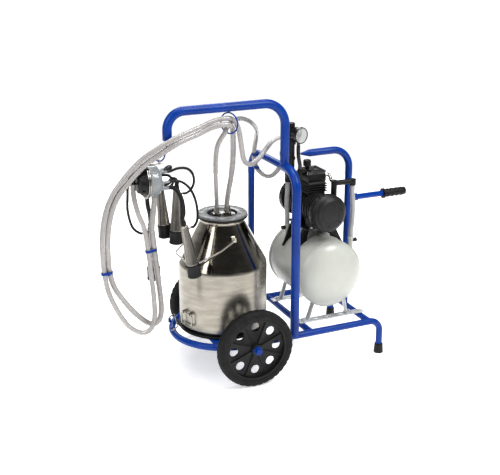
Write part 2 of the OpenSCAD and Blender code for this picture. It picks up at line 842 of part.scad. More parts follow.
module regulator_knob() {
    color("#0f0f0f") translate([reg_x, reg_y, reg_high + gap]) {
        translate([0, 0, -10]) cylinder(h = 12, r = 6);
        for (k = [0 : 11]) rotate([0, 0, 30 * k]) translate([15, 0, 0]) cylinder(h = 14, r = 3, $fn = 16);
        cylinder(h = 15, r = 16);
    }
}

gauge_c = [283, -50, 838];
gauge_turn = 15;
gauge_r = 29;
module at_gauge() { translate(gauge_c) rotate([0, 0, gauge_turn]) rotate([90, 0, 0]) children(); }
// Round dial gauge on a black stem that rises from the column's base
module gauge_case() {
    color("#23262a") {
        at_gauge() difference() {
            union() {
                translate([0, 0, -24]) cylinder(h = 24, r = gauge_r - 2);
                translate([0, 0, -4]) cylinder(h = 10, r = gauge_r);
            }
            translate([0, 0, 1]) cylinder(h = 12, r = gauge_r - 3);
            translate([0, 0, -2]) cylinder(h = 12, r = 1.55);
        }
        bar_z(gauge_c[2] - gauge_r - 16, gauge_c[2] - gauge_r + 6, gauge_c[0] - 2, gauge_c[1] + 11, 6);
        swept([
            [gauge_c[0] - 2, gauge_c[1] + 11, gauge_c[2] - gauge_r - 12],
            [gauge_c[0] - 2, gauge_c[1] + 11, 780],
            [gauge_c[0] - 1, gauge_c[1] + 10, 755],
            [stem_foot[0], stem_foot[1], 728],
            [stem_foot[0], stem_foot[1], stem_foot[2] + 0.1]
        ], 7, 10);
    }
}
module gauge_needle() {
    color("#111111") at_gauge() {
        translate([0, 0, -1]) cylinder(h = 6, r = 1.5);
        translate([0, 0, 3]) cylinder(h = 1.6, r = 3);
        rotate([0, 0, 215]) translate([-5, -0.7, 3.2]) cube([23, 1.4, 1]);
    }
}

// ---- milking cluster --------------------------------------------------------

claw_y = arch_y;
claw_z = 748;
bowl_r = 53;
bowl_from = -308;
bowl_to = -262;
spout_end = -240;
module on_claw(x) { translate([x, claw_y, claw_z]) rotate([0, 90, 0]) children(); }

milk_spouts = [[-117, 724], [-69, 772], [-69, 724]];
pulse_spouts = [[-128, 748], [-50, 750], [-104, 776]];
claw_out = [-284, claw_y, 690];
drop_spout = [-300, -66, 696];
pulse_in = [-356, claw_y, 743];
// Clear bowl with three spouts on its face and two underneath
module claw_bowl() {
    color("#c9cdd0") difference() {
        union() {
            on_claw(bowl_from) rotate_extrude($fn = 72) polygon([
                [0, 0], [bowl_r, 0], [bowl_r, 26], [bowl_r - 6, 36], [30, 46], [0, 48]
            ]);
            for (s = milk_spouts) bar_x(bowl_to - 14, spout_end, s[0], s[1], 6.5);
            for (s = pulse_spouts) bar_x(bowl_to - 14, spout_end, s[0], s[1], 4);
            bar_z(claw_out[2], claw_z - 30, claw_out[0], claw_out[1], 9);
            bar_z(drop_spout[2], claw_z - 30, drop_spout[0], drop_spout[1], 6.5);
        }
        on_claw(bowl_from) rotate_extrude($fn = 72) polygon([
            [0, 3], [bowl_r - 3, 3], [bowl_r - 3, 25], [bowl_r - 8, 33], [30, 43], [0, 45]
        ]);
    }
}
hanger_r = 7.5;
hanger_z = hook_low[2] + hook_r + 3 - hanger_r;
band_rise = 5.5;
strap_w = 8;
// Black cap, bright clamp ring and hanger eye, with the pulse inlet at the end
module claw_cap() {
    color("#181818") {
        on_claw(bowl_from - 10) cylinder(h = 9.9, r = bowl_r + band_rise);
        on_claw(bowl_from - 34) cylinder(h = 24, r1 = 38, r2 = 46);
        bar_x(claw_left + 3, bowl_from - 30, claw_y, claw_z + 24, 12);
        bar_x(claw_left, claw_left + 3, claw_y, claw_z + 24, 10);
        bar_z(pulse_in[2], claw_z + 24, pulse_in[0], claw_y, 9);
        bar_x(-353, bowl_from - 30, -69, 736, 5);
    }
    color("silver") {
        translate([bowl_from - 6, claw_y - strap_w / 2, claw_z + bowl_r + gap])
            cube([hook_low[0] + 10 - bowl_from, strap_w, 3]);
        translate([hook_low[0], claw_y, hanger_z]) rotate([0, 90, 0]) ring(hanger_r, 1.5);
    }
}

// Teat cups: top point, and how far each leans in the X-Z plane
cups = [
    [[-207, -165, 602], 10.7],
    [[-239, -20, 709], 4.7],
    [[-198, -77, 701], -2.1],
    [[-282, -40, 567], 1.8]
];
cup_len = 142;
head_len = 48;
shell_top_r = 12.5;
shell_low_r = 20.5;
nipple_turn = [0, 0, 0, 180];
nipple_at = 14;
module at_cup(i) { translate(cups[i][0]) rotate([0, 180 - cups[i][1], 0]) children(); }
function cup_dir(i) = [sin(cups[i][1]), 0, -cos(cups[i][1])];
function cup_tail(i, d = 14) = cups[i][0] - d * cup_dir(i);
function nipple_side(i) = nipple_turn[i] == 0 ? 1 : -1;
function cup_nipple(i, d = 24) = cups[i][0] + nipple_at * cup_dir(i)
    + nipple_side(i) * d * [cos(cups[i][1]), 0, sin(cups[i][1])];

// Stainless cones with a pulse nipple near the top
module cup_shells() {
    color("silver") for (i = [0 : 3]) at_cup(i) difference() {
        union() {
            cylinder(h = 8, r = shell_top_r);
            translate([0, 0, 8]) cylinder(h = cup_len - 8, r1 = shell_top_r, r2 = shell_low_r);
            translate([0, 0, nipple_at]) rotate([0, nipple_side(i) > 0 ? -90 : 90, 0]) cylinder(h = 24, r = 3.5);
        }
        translate([0, 0, -1]) cylinder(h = 12, r = 8.05);
        translate([0, 0, 9]) cylinder(h = cup_len - 8.9, r1 = shell_top_r - 1.5, r2 = shell_low_r - 1.5);
    }
}

// Rubber liners: mouthpiece, sleeve inside the shell and the short milk tube
milk_tubes = [
    [[spout_end, -117, 724], [-230, -117, 724], [-216, -123, 716], [-206, -136, 694], [-203, -148, 668],
        [-206, -160, 642], cup_tail(0, 28), cup_tail(0)],
    [[spout_end, -69, 772], [-230, -69, 772], [-216, -62, 775], [-209, -44, 774], [-214, -28, 766],
        [-228, -21, 750], cup_tail(1, 26), cup_tail(1)],
    [[spout_end, -69, 724], [-232, -69, 724], [-222, -70, 729], [-212, -73, 739], [-202, -76, 738],
        [-197, -77, 727], cup_tail(2, 18), cup_tail(2)],
    [drop_spout, [-300, -66, 684], [-297, -61, 654], [-288, -50, 622], [-283, -41, 596], cup_tail(3)]
];
module cup_liners() {
    color("#151515") for (i = [0 : 3]) {
        at_cup(i) {
            difference() {
                union() {
                    translate([0, 0, -14]) cylinder(h = 13.7, r = 9);
                    translate([0, 0, -1]) cylinder(h = 12, r = 7.5);
                    translate([0, 0, 9.5]) cylinder(h = cup_len - 9.4, r1 = 9.5, r2 = 13);
                    translate([0, 0, cup_len + 0.1]) cylinder(h = head_len - 8, r1 = 22, r2 = 24);
                    translate([0, 0, cup_len + head_len - 8]) cylinder(h = 8, r1 = 24, r2 = 20);
                }
                translate([0, 0, 40]) cylinder(h = cup_len + head_len, r = 10.5);
            }
        }
        swept(milk_tubes[i], 7.5, 10);
    }
}

// Thin black pulse tubes from the claw to each cup's nipple
pulse_runs = [
    [[spout_end, -128, 748], [-230, -128, 748], [-200, -136, 744], [-174, -146, 718], [-160, -154, 680],
        [-156, -160, 640], [-160, -164, 612], cup_nipple(0, 34), cup_nipple(0)],
    [[spout_end, -50, 750], [-231, -50, 750], [-214, -46, 745], [-200, -37, 730], [-193, -27, 712],
        cup_nipple(1, 36), cup_nipple(1)],
    [[spout_end, -104, 776], [-230, -104, 776], [-200, -106, 784], [-168, -102, 778], [-146, -94, 756],
        [-138, -84, 722], [-148, -78, 696], cup_nipple(2, 34), cup_nipple(2)],
    [[-353.1, -69, 736], [-361, -69, 736], [-366, -67, 724], [-366, -60, 690], [-366, -54, 650], [-358, -48, 606],
        [-344, -43, 572], cup_nipple(3, 38), cup_nipple(3)]
];
module pulse_tubes() {
    color("#131313") for (i = [0 : 3]) swept(pulse_runs[i], 4.5, 8);
}

// ---- free hoses -------------------------------------------------------------

// Lid, up to the ring, forward over the nose, down and round to the claw
milk_route = [
    [23, 10, 592], [23, 10, 608], [25, 2, 645], [27, -16, 700], [25, -38, 760], [19, -58, 815],
    [11, -76, 858], [5, -89, 884], [-5, -102, 905], [-22, -107, 915], [-46, -107, 916], [-80, -104, 910],
    [-129, -108, 893],
    [-180, -116, 880], [-218, -122, 867], [-270, -126, 842], [-325, -122, 808], [-381, -118, 754],
    [-421, -116, 704], [-445, -115, 641], [-456, -115, 570], [-457, -114, 508], [-454, -111, 455],
    [-438, -104, 396], [-403, -98, 335], [-362, -94, 280], [-325, -95, 244], [-298, -97, 236],
    [-280, -99, 252], [-274, -101, 290], [-278, -104, 350], [-287, -107, 430], [-297, -109, 510],
    [-300, -106, 580], [-291, -98, 635], [-284, -93, 672], [-284, -93, 690]
];
// Regulator, down and up to the ring, then beside the milk hose to the claw
pulse_route = [
    [232, -8, 828], [220, -8, 828], [192, -14, 820], [160, -26, 797], [131, -40, 775], [103, -54, 760],
    [74, -68, 759], [50, -79, 780], [38, -89, 820], [30, -94, 862], [22, -95, 898], [6, -95, 925],
    [-18, -97, 935], [-66, -98, 932], [-133, -107, 913], [-184, -116, 900], [-224, -122, 886],
    [-280, -126, 860], [-337, -122, 825], [-395, -118, 768], [-437, -116, 714], [-463, -115, 648],
    [-475, -115, 572], [-476, -115, 508], [-473, -116, 455], [-464, -121, 390], [-438, -126, 320],
    [-402, -130, 258], [-358, -132, 226], [-324, -130, 233], [-308, -127, 272], [-307, -124, 340],
    [-312, -121, 420], [-319, -118, 510], [-328, -111, 590], [-344, -103, 640], [-354, -97, 690],
    [-356, -93, 724], [-356, -93, 743]
];
// Lid, up to the ring, across to the hoop's far corner and back to the regulator
vacuum_route = [
    [-17, 10, 592], [-17, 10, 608], [-22, 0, 650], [-32, -20, 715], [-40, -42, 780], [-42, -62, 830],
    [-36, -78, 860], [-25, -90, 885], [-14, -86, 905], [6, -78, 918], [36, -62, 922], [68, -42, 914], [108, -12, 892],
    [150, 40, 855], [174, 88, 812], [178, 112, 770], [178, 116, 724], [186, 108, 690], [200, 88, 670],
    [213, 60, 668], [223, 34, 684], [230, 10, 712], [232, -6, 738], [232, -8, 752], [232, -8, 762]
];
module milk_hose() { color("#c8c9c6") swept(milk_route, milk_d / 2, 10); }
module pulse_hose() { color("#c3c4c2") swept(pulse_route, pulse_d / 2, 10); }
module vacuum_hose() { color("#cccdcb") swept(vacuum_route, vacuum_d / 2, 10); }

place() base_tube();
place() crossbars();
place() hoop_near_tube();
place() hoop_far_tube();
place() arch_tube();
place() rear_arch_tube();
place() axle_stubs();
place() cradle_straps();
place() bucket_mat();
place() tank_rails();
place() handle_tube();
place() handle_grip();
place() foot_caps();
place() claw_hook();
place() hose_ring();
place() wheel_near();
place() tyre_near();
place() wheel_far();
place() tyre_far();
place() axle_caps();
place() bucket();
place() bucket_lid();
place() lid_gasket();
place() lid_nipples();
place() bucket_bail();
place() bucket_lugs();
place() tipping_loop();
place() latch_wire();
place() tank_shell();
place() tank_legs();
place() tank_ports();
place() pump_cradle();
place() pump_housing();
place() motor_stator();
place() rotor_shaft();
place() cooling_fans();
place() shaft_bearings();
place() end_cover_near();
place() end_cover_far();
place() cylinder_block();
place() wobble_pistons();
place() cylinder_head();
place() inlet_filter();
place() head_pipe();
place() suction_manifolds();
place() suction_hoses();
place() tap_near();
place() tap_far();
place() regulator_body();
place() regulator_knob();
place() gauge_case();
place() gauge_needle();
place() claw_bowl();
place() claw_cap();
place() cup_shells();
place() cup_liners();
place() pulse_tubes();
place() milk_hose();
place() pulse_hose();
place() vacuum_hose();
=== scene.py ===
import json
import math
import random

import bpy
from mathutils import Matrix, Vector


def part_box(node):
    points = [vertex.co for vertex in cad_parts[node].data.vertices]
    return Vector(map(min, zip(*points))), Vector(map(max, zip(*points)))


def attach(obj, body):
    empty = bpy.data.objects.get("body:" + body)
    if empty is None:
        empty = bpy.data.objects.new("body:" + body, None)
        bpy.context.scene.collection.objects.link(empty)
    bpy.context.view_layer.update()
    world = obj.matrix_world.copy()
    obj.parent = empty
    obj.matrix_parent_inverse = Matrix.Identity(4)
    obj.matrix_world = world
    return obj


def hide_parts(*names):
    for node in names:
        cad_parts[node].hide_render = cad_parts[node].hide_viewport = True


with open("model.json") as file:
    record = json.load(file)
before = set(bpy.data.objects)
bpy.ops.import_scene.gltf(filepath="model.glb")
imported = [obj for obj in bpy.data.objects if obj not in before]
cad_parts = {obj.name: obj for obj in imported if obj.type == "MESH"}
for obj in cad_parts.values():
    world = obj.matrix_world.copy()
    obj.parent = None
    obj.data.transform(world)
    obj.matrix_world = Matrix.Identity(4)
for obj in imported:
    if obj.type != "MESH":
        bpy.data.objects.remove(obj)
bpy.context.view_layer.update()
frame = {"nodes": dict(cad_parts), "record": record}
nodes = frame["nodes"]
random.seed(11)

# Sizes below are millimetres from the bucket's axis, as the CAD model has them.
MM = 0.001
bucket_low, bucket_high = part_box("bucket")
bucket_x = (bucket_low.x + bucket_high.x) / 2
X, Y, Z = Vector((1, 0, 0)), Vector((0, 1, 0)), Vector((0, 0, 1))


def at(x, y, z):
    """A place in millimetres from the bucket's axis, as a point of the row frame in metres."""
    return Vector((bucket_x + x * MM, y * MM, z * MM))


# ---- camera -----------------------------------------------------------------

# Solved from the photograph: place in metres, degrees below level, degrees turned, lens in mm.
CAMERA_PLACE = (-1.4617, -3.0421, 1.6066)
CAMERA_DOWN, CAMERA_TURN, CAMERA_LENS, SENSOR_W, CLIP_END = 18.9, -24.3, 69.57, 36, 60
camera = bpy.data.objects.new("camera", bpy.data.cameras.new("camera"))
bpy.context.scene.collection.objects.link(camera)
camera.location = CAMERA_PLACE
camera.rotation_euler = (math.radians(90 - CAMERA_DOWN), 0, math.radians(CAMERA_TURN))
camera.data.lens = CAMERA_LENS
camera.data.sensor_width = SENSOR_W
camera.data.clip_end = CLIP_END
bpy.context.scene.camera = camera

# ---- routes of the free hoses -----------------------------------------------

# Each is a hose's centre line, from its fixed end to its far end.
MILK_ROUTE = [
    (23, 10, 592), (23, 10, 608), (25, 2, 645), (27, -16, 700), (25, -38, 760), (19, -58, 815),
    (11, -76, 858), (5, -89, 884), (-5, -102, 905), (-22, -107, 915), (-46, -107, 916),
    (-80, -104, 910), (-129, -108, 893), (-180, -116, 880), (-218, -122, 867), (-270, -126, 842),
    (-325, -122, 808), (-381, -118, 754), (-421, -116, 704), (-445, -115, 641), (-456, -115, 570),
    (-457, -114, 508), (-454, -111, 455), (-438, -104, 396), (-403, -98, 335), (-362, -94, 280),
    (-325, -95, 244), (-298, -97, 236), (-280, -99, 252), (-274, -101, 290), (-278, -104, 350),
    (-287, -107, 430), (-297, -109, 510), (-300, -106, 580), (-291, -98, 635), (-284, -93, 672),
    (-284, -93, 690),
]
PULSE_ROUTE = [
    (232, -8, 828), (220, -8, 828), (192, -14, 820), (160, -26, 797), (131, -40, 775),
    (103, -54, 760), (74, -68, 759), (50, -79, 780), (38, -89, 820), (30, -94, 862),
    (22, -95, 898), (6, -95, 925), (-18, -97, 935), (-66, -98, 932), (-133, -107, 913),
    (-184, -116, 900), (-224, -122, 886), (-280, -126, 860), (-337, -122, 825), (-395, -118, 768),
    (-437, -116, 714), (-463, -115, 648), (-475, -115, 572), (-476, -115, 508), (-473, -116, 455),
    (-464, -121, 390), (-438, -126, 320), (-402, -130, 258), (-358, -132, 226), (-324, -130, 233),
    (-308, -127, 272), (-307, -124, 340), (-312, -121, 420), (-319, -118, 510), (-328, -111, 590),
    (-344, -103, 640), (-354, -97, 690), (-356, -93, 724), (-356, -93, 743),
]
VACUUM_ROUTE = [
    (-17, 10, 592), (-17, 10, 608), (-22, 0, 650), (-32, -20, 715), (-40, -42, 780),
    (-42, -62, 830), (-36, -78, 860), (-25, -90, 885), (-14, -86, 905), (6, -78, 918),
    (36, -62, 922), (68, -42, 914), (108, -12, 892), (150, 40, 855), (174, 88, 812),
    (178, 112, 770), (178, 116, 724), (186, 108, 690), (200, 88, 670), (213, 60, 668),
    (223, 34, 684), (230, 10, 712), (232, -6, 738), (232, -8, 752), (232, -8, 762),
]

# ---- looks of the made pieces -----------------------------------------------

made_looks = []


def dress(obj, look):
    """Notes the look a piece gets."""
    made_looks.append((obj, look))


# ---- shapes -----------------------------------------------------------------


def across(axis):
    """Two directions square to axis and to each other."""
    axis = Vector(axis).normalized()
    start = Z if abs(axis.z) < 0.9 else X
    u = start.cross(axis).normalized()
    return u, axis.cross(u)


def angles(count):
    """Even steps of one turn, in radians."""
    return [2 * math.pi * k / count for k in range(count)]


def smooth(points, per=5):
    """Points along a smooth line through the given ones."""
    p = [Vector(q) for q in points]
    p = [2 * p[0] - p[1]] + p + [2 * p[-1] - p[-2]]
    line = []
    for a, b, c, d in zip(p, p[1:], p[2:], p[3:]):
        for k in range(per):
            t = k / per
            line.append(0.5 * (2 * b + (c - a) * t + (2 * a - 5 * b + 4 * c - d) * t * t
                               + (3 * b - a - 3 * c + d) * t ** 3))
    return line + [p[-2]]


def rounded(points, radius, per=6, loop=False):
    """The corners of a polyline turned into curves of about that radius."""
    p = [Vector(q) for q in points]
    n = len(p)
    line = []
    for i, corner in enumerate(p):
        if not loop and i in (0, n - 1):
            line.append(corner)
            continue
        before, after = p[i - 1] - corner, p[(i + 1) % n] - corner
        cut = min(radius, before.length * 0.45, after.length * 0.45)
        a = corner + before.normalized() * cut
        b = corner + after.normalized() * cut
        for k in range(per + 1):
            t = k / per
            line.append((1 - t) ** 2 * a + 2 * t * (1 - t) * corner + t * t * b)
    return line


MADE_SHARP, MADE_EDGE = 38, 40  # degrees above which an edge stays sharp, or is bevelled
LEAST_R = 0.02  # a profile point on the axis stands this far off it, so no face is flat


class Shape:
    """Rings, tubes and blocks gathered into one mesh."""

    def __init__(self):
        self.points, self.faces = [], []

    def rings(self, rings, loop=False, caps=True):
        """Walls between rings of equal length, with the ends capped or joined."""
        first, n = len(self.points), len(rings[0])
        for ring in rings:
            self.points.extend(ring)
        count = len(rings)
        for i in range(count if loop else count - 1):
            a, b = first + i * n, first + (i + 1) % count * n
            for j in range(n):
                k = (j + 1) % n
                self.faces.append((a + j, a + k, b + k, b + j))
        if caps and not loop:
            self.faces.append(tuple(range(first + n - 1, first - 1, -1)))
            last = first + (count - 1) * n
            self.faces.append(tuple(range(last, last + n)))

    def revolve(self, profile, centre, axis, steps=48, closed=False, wobble=None):
        """Profile of (radius, height) pairs turned about an axis through centre."""
        u, v = across(axis)
        axis = Vector(axis).normalized()
        centre = Vector(centre)
        rings = []
        for q, (r, h) in enumerate(profile):
            ring = []
            for k, a in enumerate(angles(steps)):
                big = max(r, LEAST_R) + (wobble(q, k) if wobble else 0)
                ring.append(centre + axis * h + big * (math.cos(a) * u + math.sin(a) * v))
            rings.append(ring)
        self.rings(rings, loop=closed)
        return self

    def tube(self, line, r, sides=14, loop=False):
        """Round tube along a line of points; r may be a function of the point's number."""
        line = [Vector(q) for q in line]
        n = len(line)
        u = None
        rings = []
        for i, q in enumerate(line):
            ahead = line[(i + 1) % n] if loop or i < n - 1 else q
            back = line[i - 1] if loop or i > 0 else q
            t = (ahead - back).normalized()
            u = across(t)[0] if u is None else (u - u.dot(t) * t).normalized()
            v = t.cross(u)
            radius = r(i) if callable(r) else r
            rings.append([q + radius * math.cos(a) * u + radius * math.sin(a) * v for a in angles(sides)])
        self.rings(rings, loop=loop)
        return self

    def block(self, centre, size, turn=None):
        """Rectangular block, turned by a matrix."""
        turn = turn or Matrix.Identity(3)
        half = Vector(size) / 2
        first = len(self.points)
        for x in (-1, 1):
            for y in (-1, 1):
                for z in (-1, 1):
                    corner = Vector((x * half.x, y * half.y, z * half.z))
                    self.points.append(Vector(centre) + turn @ corner)
        for f in ((0, 1, 3, 2), (4, 6, 7, 5), (0, 4, 5, 1), (2, 3, 7, 6), (0, 2, 6, 4), (1, 5, 7, 3)):
            self.faces.append(tuple(first + k for k in f))
        return self

    def hex_bolt(self, seat, axis, across_flats=10, head=5):
        """Hexagon head with a chamfer, on a washer."""
        r = across_flats / 2 / math.cos(math.pi / 6)
        washer, washer_r, top = 1.1, r * 1.5, head + 0.9
        self.revolve([(0, 0), (washer_r, 0), (washer_r, washer), (0, washer)], seat, axis, 24)
        hexagon = [(0, washer), (r * 0.97, washer), (r, 1.6), (r, head), (r * 0.85, top), (0, top)]
        self.revolve(hexagon, seat, axis, 6)
        return self

    def make(self, name, body, look, replaces=(), bevel=0.0, sharp=MADE_SHARP):
        """The finished piece in metres, riding on its body."""
        mesh = bpy.data.meshes.new(name)
        mesh.from_pydata([at(*q) for q in self.points], [], self.faces)
        mesh.validate()
        mesh.shade_smooth()
        mesh.set_sharp_from_angle(angle=math.radians(sharp))
        obj = bpy.data.objects.new(name, mesh)
        bpy.context.scene.collection.objects.link(obj)
        if bevel:
            edge = obj.modifiers.new("edge", "BEVEL")
            edge.width = bevel * MM
            edge.segments = 2
            edge.limit_method = "ANGLE"
            edge.angle_limit = math.radians(MADE_EDGE)
        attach(obj, body)
        if replaces:
            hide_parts(*replaces)
        dress(obj, look)
        return obj


def hose(name, node, route, diameter):
    """A limp clear hose along its route."""
    line = smooth(route, 4)
    obj = Shape().tube(line, diameter / 2 / MM, 20).make(name, "frame", "clear_hose", [node])


hose("milk_tube", "milk_hose", MILK_ROUTE, 0.019)
hose("pulse_tube", "pulse_hose", PULSE_ROUTE, 0.017)
hose("vacuum_tube", "vacuum_hose", VACUUM_ROUTE, 0.016)


def saddle(centre, branch, main, branch_r, main_r, steps=40):
    """The line where a branch tube meets the main tube that it stands on."""
    branch, main = Vector(branch), Vector(main)
    side = branch.cross(main)
    line = []
    for a in angles(steps):
        rise = math.sqrt(max(main_r ** 2 - (branch_r * math.sin(a)) ** 2, 0))
        out = branch_r * (math.cos(a) * main + math.sin(a) * side)
        line.append(Vector(centre) + out + rise * branch)
    return line


def bead(thick):
    """The uneven thickness of a weld bead, point by point."""
    return lambda i: thick * (0.82 + 0.18 * math.sin(i * 2.3) + 0.12 * random.random())


# ---- wheels -----------------------------------------------------------------

WHEEL = (20, 0, 141)
TYRE_IN, TYRE_W, TYRE_R, RIM_R = 218, 46, 141, 112.2
SHOULDER_R, SHOULDER_W, LUG_DEPTH, LUG_PITCH, LUG_GAP, TYRE_STEPS = 135, 12, 1.8, 6, 2, 216


def tyre(name, node, body, side):
    """Tyre with two grooves round its tread and lugs cut across its shoulders."""
    profile = [(RIM_R, 3), (118, 0.6), (128, 0), (135.5, 2.5), (139.6, 8), (TYRE_R, 15)]
    profile += [(TYRE_R, 16.4), (138.2, 17), (138.2, 19.4), (TYRE_R, 20), (TYRE_R, 22.8)]
    profile += [(r, TYRE_W - h) for r, h in reversed(profile)]

    def lug(q, k):
        r, h = profile[q]
        shoulder = r > SHOULDER_R and (h < SHOULDER_W or h > TYRE_W - SHOULDER_W)
        return -LUG_DEPTH if shoulder and k % LUG_PITCH < LUG_GAP else 0

    placed = [(r, TYRE_IN + h) for r, h in profile]
    shape = Shape().revolve(placed, WHEEL, side * Y, TYRE_STEPS, True, lug)
    shape.make(name, body, "tyre_rubber", [node])


tyre("tyre_near_tread", "tyre_near", "near_wheel", -1)
tyre("tyre_far_tread", "tyre_far", "far_wheel", 1)

# ---- bucket and lid ---------------------------------------------------------

bucket_line = [
    (0, 160), (143, 159.4), (151, 159.8), (156, 162.5), (159, 167), (160, 172), (160, 386), (159.7, 390.5),
    (157.6, 396), (80.8, 545), (80, 549), (80, 555.5), (82, 557.6), (86, 557.6), (88, 559.5), (87, 561.4),
    (80, 561.5), (78.3, 559.5), (78.3, 548), (155.5, 396), (158.2, 388), (158.2, 174), (148, 162), (0, 161.6),
]
BUCKET_SHARP = 50
Shape().revolve(bucket_line, (0, 0, 0), Z, 180).make(
    "bucket_body", "bucket", "bucket_steel", ["bucket"], sharp=BUCKET_SHARP)
lid_line = [
    (54, 569), (90, 569), (90.6, 571), (90, 574), (88, 575.9), (80, 575.9), (78.5, 574.6), (66, 574.6),
    (64.5, 575.9), (59, 575.9), (55, 574), (54, 571),
]
Shape().revolve(lid_line, (0, 0, 0), Z, 128, closed=True).make(
    "lid_rim", "lid", "lid_plastic", ["bucket_lid"])
dish_line = [(0, 559.2), (51, 559.2), (53.9, 568), (53.9, 571.5), (49, 567), (46, 565.8), (0, 565.8)]
Shape().revolve(dish_line, (0, 0, 0), Z, 96).make("lid_window", "lid", "dark_window", ["bucket_lid"])


def turned(point, degrees):
    """A point turned about the bucket's axis."""
    return Matrix.Rotation(math.radians(degrees), 3, "Z") @ Vector(point)


# Wires lie in their own frame, and are then leaned or turned to their place.
BAIL = [
    (0, -106, 0), (0, -122, 0), (-64, -122, 0), (-172, -84, 0), (-172, 84, 0), (-64, 122, 0), (0, 122, 0),
    (0, 106, 0),
]
BAIL_PIVOT, BAIL_LEAN, BAIL_BEND, BAIL_R = (-4, 0, 505), 30.5, 14, 3
lean = Matrix.Rotation(math.radians(BAIL_LEAN), 3, "Y").inverted()
bail_at = Vector(BAIL_PIVOT)
bail_line = rounded([bail_at + lean @ Vector(q) for q in BAIL], BAIL_BEND)
Shape().tube(bail_line, BAIL_R).make("bail_wire", "bail", "bright_steel", ["bucket_bail"])
LOOP = [(168, -30, 231), (168, 30, 231), (168, 30, 183), (168, -30, 183)]
LOOP_TURN, LOOP_BEND, WIRE_R = 196, 9, 2.5
loop_line = rounded([turned(q, LOOP_TURN) for q in LOOP], LOOP_BEND, loop=True)
Shape().tube(loop_line, WIRE_R, loop=True).make("tipping_wire", "loop", "bright_steel", ["tipping_loop"])
LATCH = [
    (196, -30, 154.5), (196, -61, 154.5), (175, -61, 168), (174, 61, 168.5), (196, 61, 154.5),
    (196, 30, 154.5),
]
LATCH_TURN, LATCH_BEND = 165, 8
latch_line = rounded([turned(q, LATCH_TURN) for q in LATCH], LATCH_BEND)
Shape().tube(latch_line, WIRE_R).make("latch_bar", "latch", "bright_steel", ["latch_wire"])

# ---- hook, hose ring and ties -----------------------------------------------

ARCH_Y = -93
HOOK = [(-232, 876.4), (-236, 852), (-243, 826), (-251, 814), (-262, 811), (-272, 816), (-276, 828)]
Shape().tube(smooth([(x, ARCH_Y, z) for x, z in HOOK]), WIRE_R).make(
    "hanging_hook", "frame", "blue_paint", ["claw_hook"])
RING_R, RING_WIRE_R, STEM_FROM, STEM_TO = 35.5, 2.6, 35, 38.8
ring_centre, ring_turn = Vector((-10, ARCH_Y, 917)), math.radians(30)
flat_way = Vector((-math.sin(ring_turn), math.cos(ring_turn), 0))
ring_line = [ring_centre + RING_R * (math.cos(a) * flat_way + math.sin(a) * Z) for a in angles(64)]
guide = Shape().tube(ring_line, RING_WIRE_R, loop=True)
guide.tube([ring_centre + Z * STEM_FROM, ring_centre + Z * STEM_TO], RING_WIRE_R)
guide.make("hose_guide", "frame", "blue_paint", ["hose_ring"])


STRAP_W, STRAP_THICK, STRAP_SQUARE = 10, 1.3, 0.75  # a lower square makes flatter sides


def tie(name, centre, along, wide_way, wide, narrow):
    """Flat strap drawn tight round the hoses, with its buckle."""
    along, wide_way = Vector(along).normalized(), Vector(wide_way).normalized()
    other = along.cross(wide_way)
    centre = Vector(centre)

    def round_it(grow):
        line = []
        for a in angles(40):
            reach = math.copysign(abs(math.cos(a)) ** STRAP_SQUARE, math.cos(a))
            line.append(centre + (wide + grow) * reach * wide_way + (narrow + grow) * math.sin(a) * other)
        return line

    half = along * STRAP_W / 2
    rings = [[p - half, q - half, q + half, p + half] for p, q in zip(round_it(0), round_it(STRAP_THICK))]
    shape = Shape()
    shape.rings(rings, loop=True)
    turn = Matrix((wide_way, other, along)).transposed()
    shape.block(centre + other * (narrow + 3.2), (9, 4.4, STRAP_W + 2.5), turn)
    shape.make(name, "frame", "blue_paint", bevel=0.5)


tie("tie_bundle", (-463.5, -113.5, 455), (0.02, -0.05, -1), (1, 0.25, 0), 20.2, 10.4)
tie("tie_rising", (-308, -113.5, 512), (-0.1, 0.02, 1), (0.92, 0.39, 0), 22.4, 10.4)
tie("tie_corner_upper", (178, 114.4, 744), (0, 0.08, -1), (1, 0, 0), 9.2, 9.2)
tie("tie_corner_lower", (184.5, 110, 694), (0.25, -0.25, -1), (0.9, -0.4, 0), 9.2, 9.2)

# ---- tank -------------------------------------------------------------------

TANK = (374, 0, 325)
TANK_R, TANK_HALF, DOME, DOME_STEPS, DOME_STEP = 125, 125, 52, 16, 6  # half the straight length, dome depth
half_line = []
for k in range(DOME_STEPS):
    a = math.radians(DOME_STEP * k)
    half_line.append((TANK_R * math.cos(a), TANK_HALF + DOME * math.sin(a)))
tank_line = [(r, -h) for r, h in reversed(half_line)] + half_line
Shape().revolve(tank_line, TANK, Y, 144).make("tank_body", "frame", "white_paint", ["tank_shell"])
seams = Shape()
SEAM_BAND = [(124.4, 119), (126.2, 119.6), (126.6, 121), (126.6, 129), (126.2, 130.4), (124.4, 131)]
SEAM_BEAD_R, SEAM_BEADS_AT, SEAM_BEAD = 125.3, (118.4, 131.6), 1.7
for s in (-1, 1):
    seams.revolve([(r, s * h) for r, h in SEAM_BAND], TANK, Y, 144, closed=True)
    for h in SEAM_BEADS_AT:
        ring = [Vector(TANK) + SEAM_BEAD_R * Vector((math.cos(a), 0, math.sin(a))) + Vector((0, s * h, 0))
                for a in angles(220)]
        seams.tube(ring, bead(SEAM_BEAD), 8, loop=True)
seams.make("tank_seams", "frame", "white_paint", ["tank_shell"])
sockets = Shape()
SOCKETS, SOCKET_R, SKIN_R = ((486, -80, 440), (290, 60, 476)), 9.5, 125.5
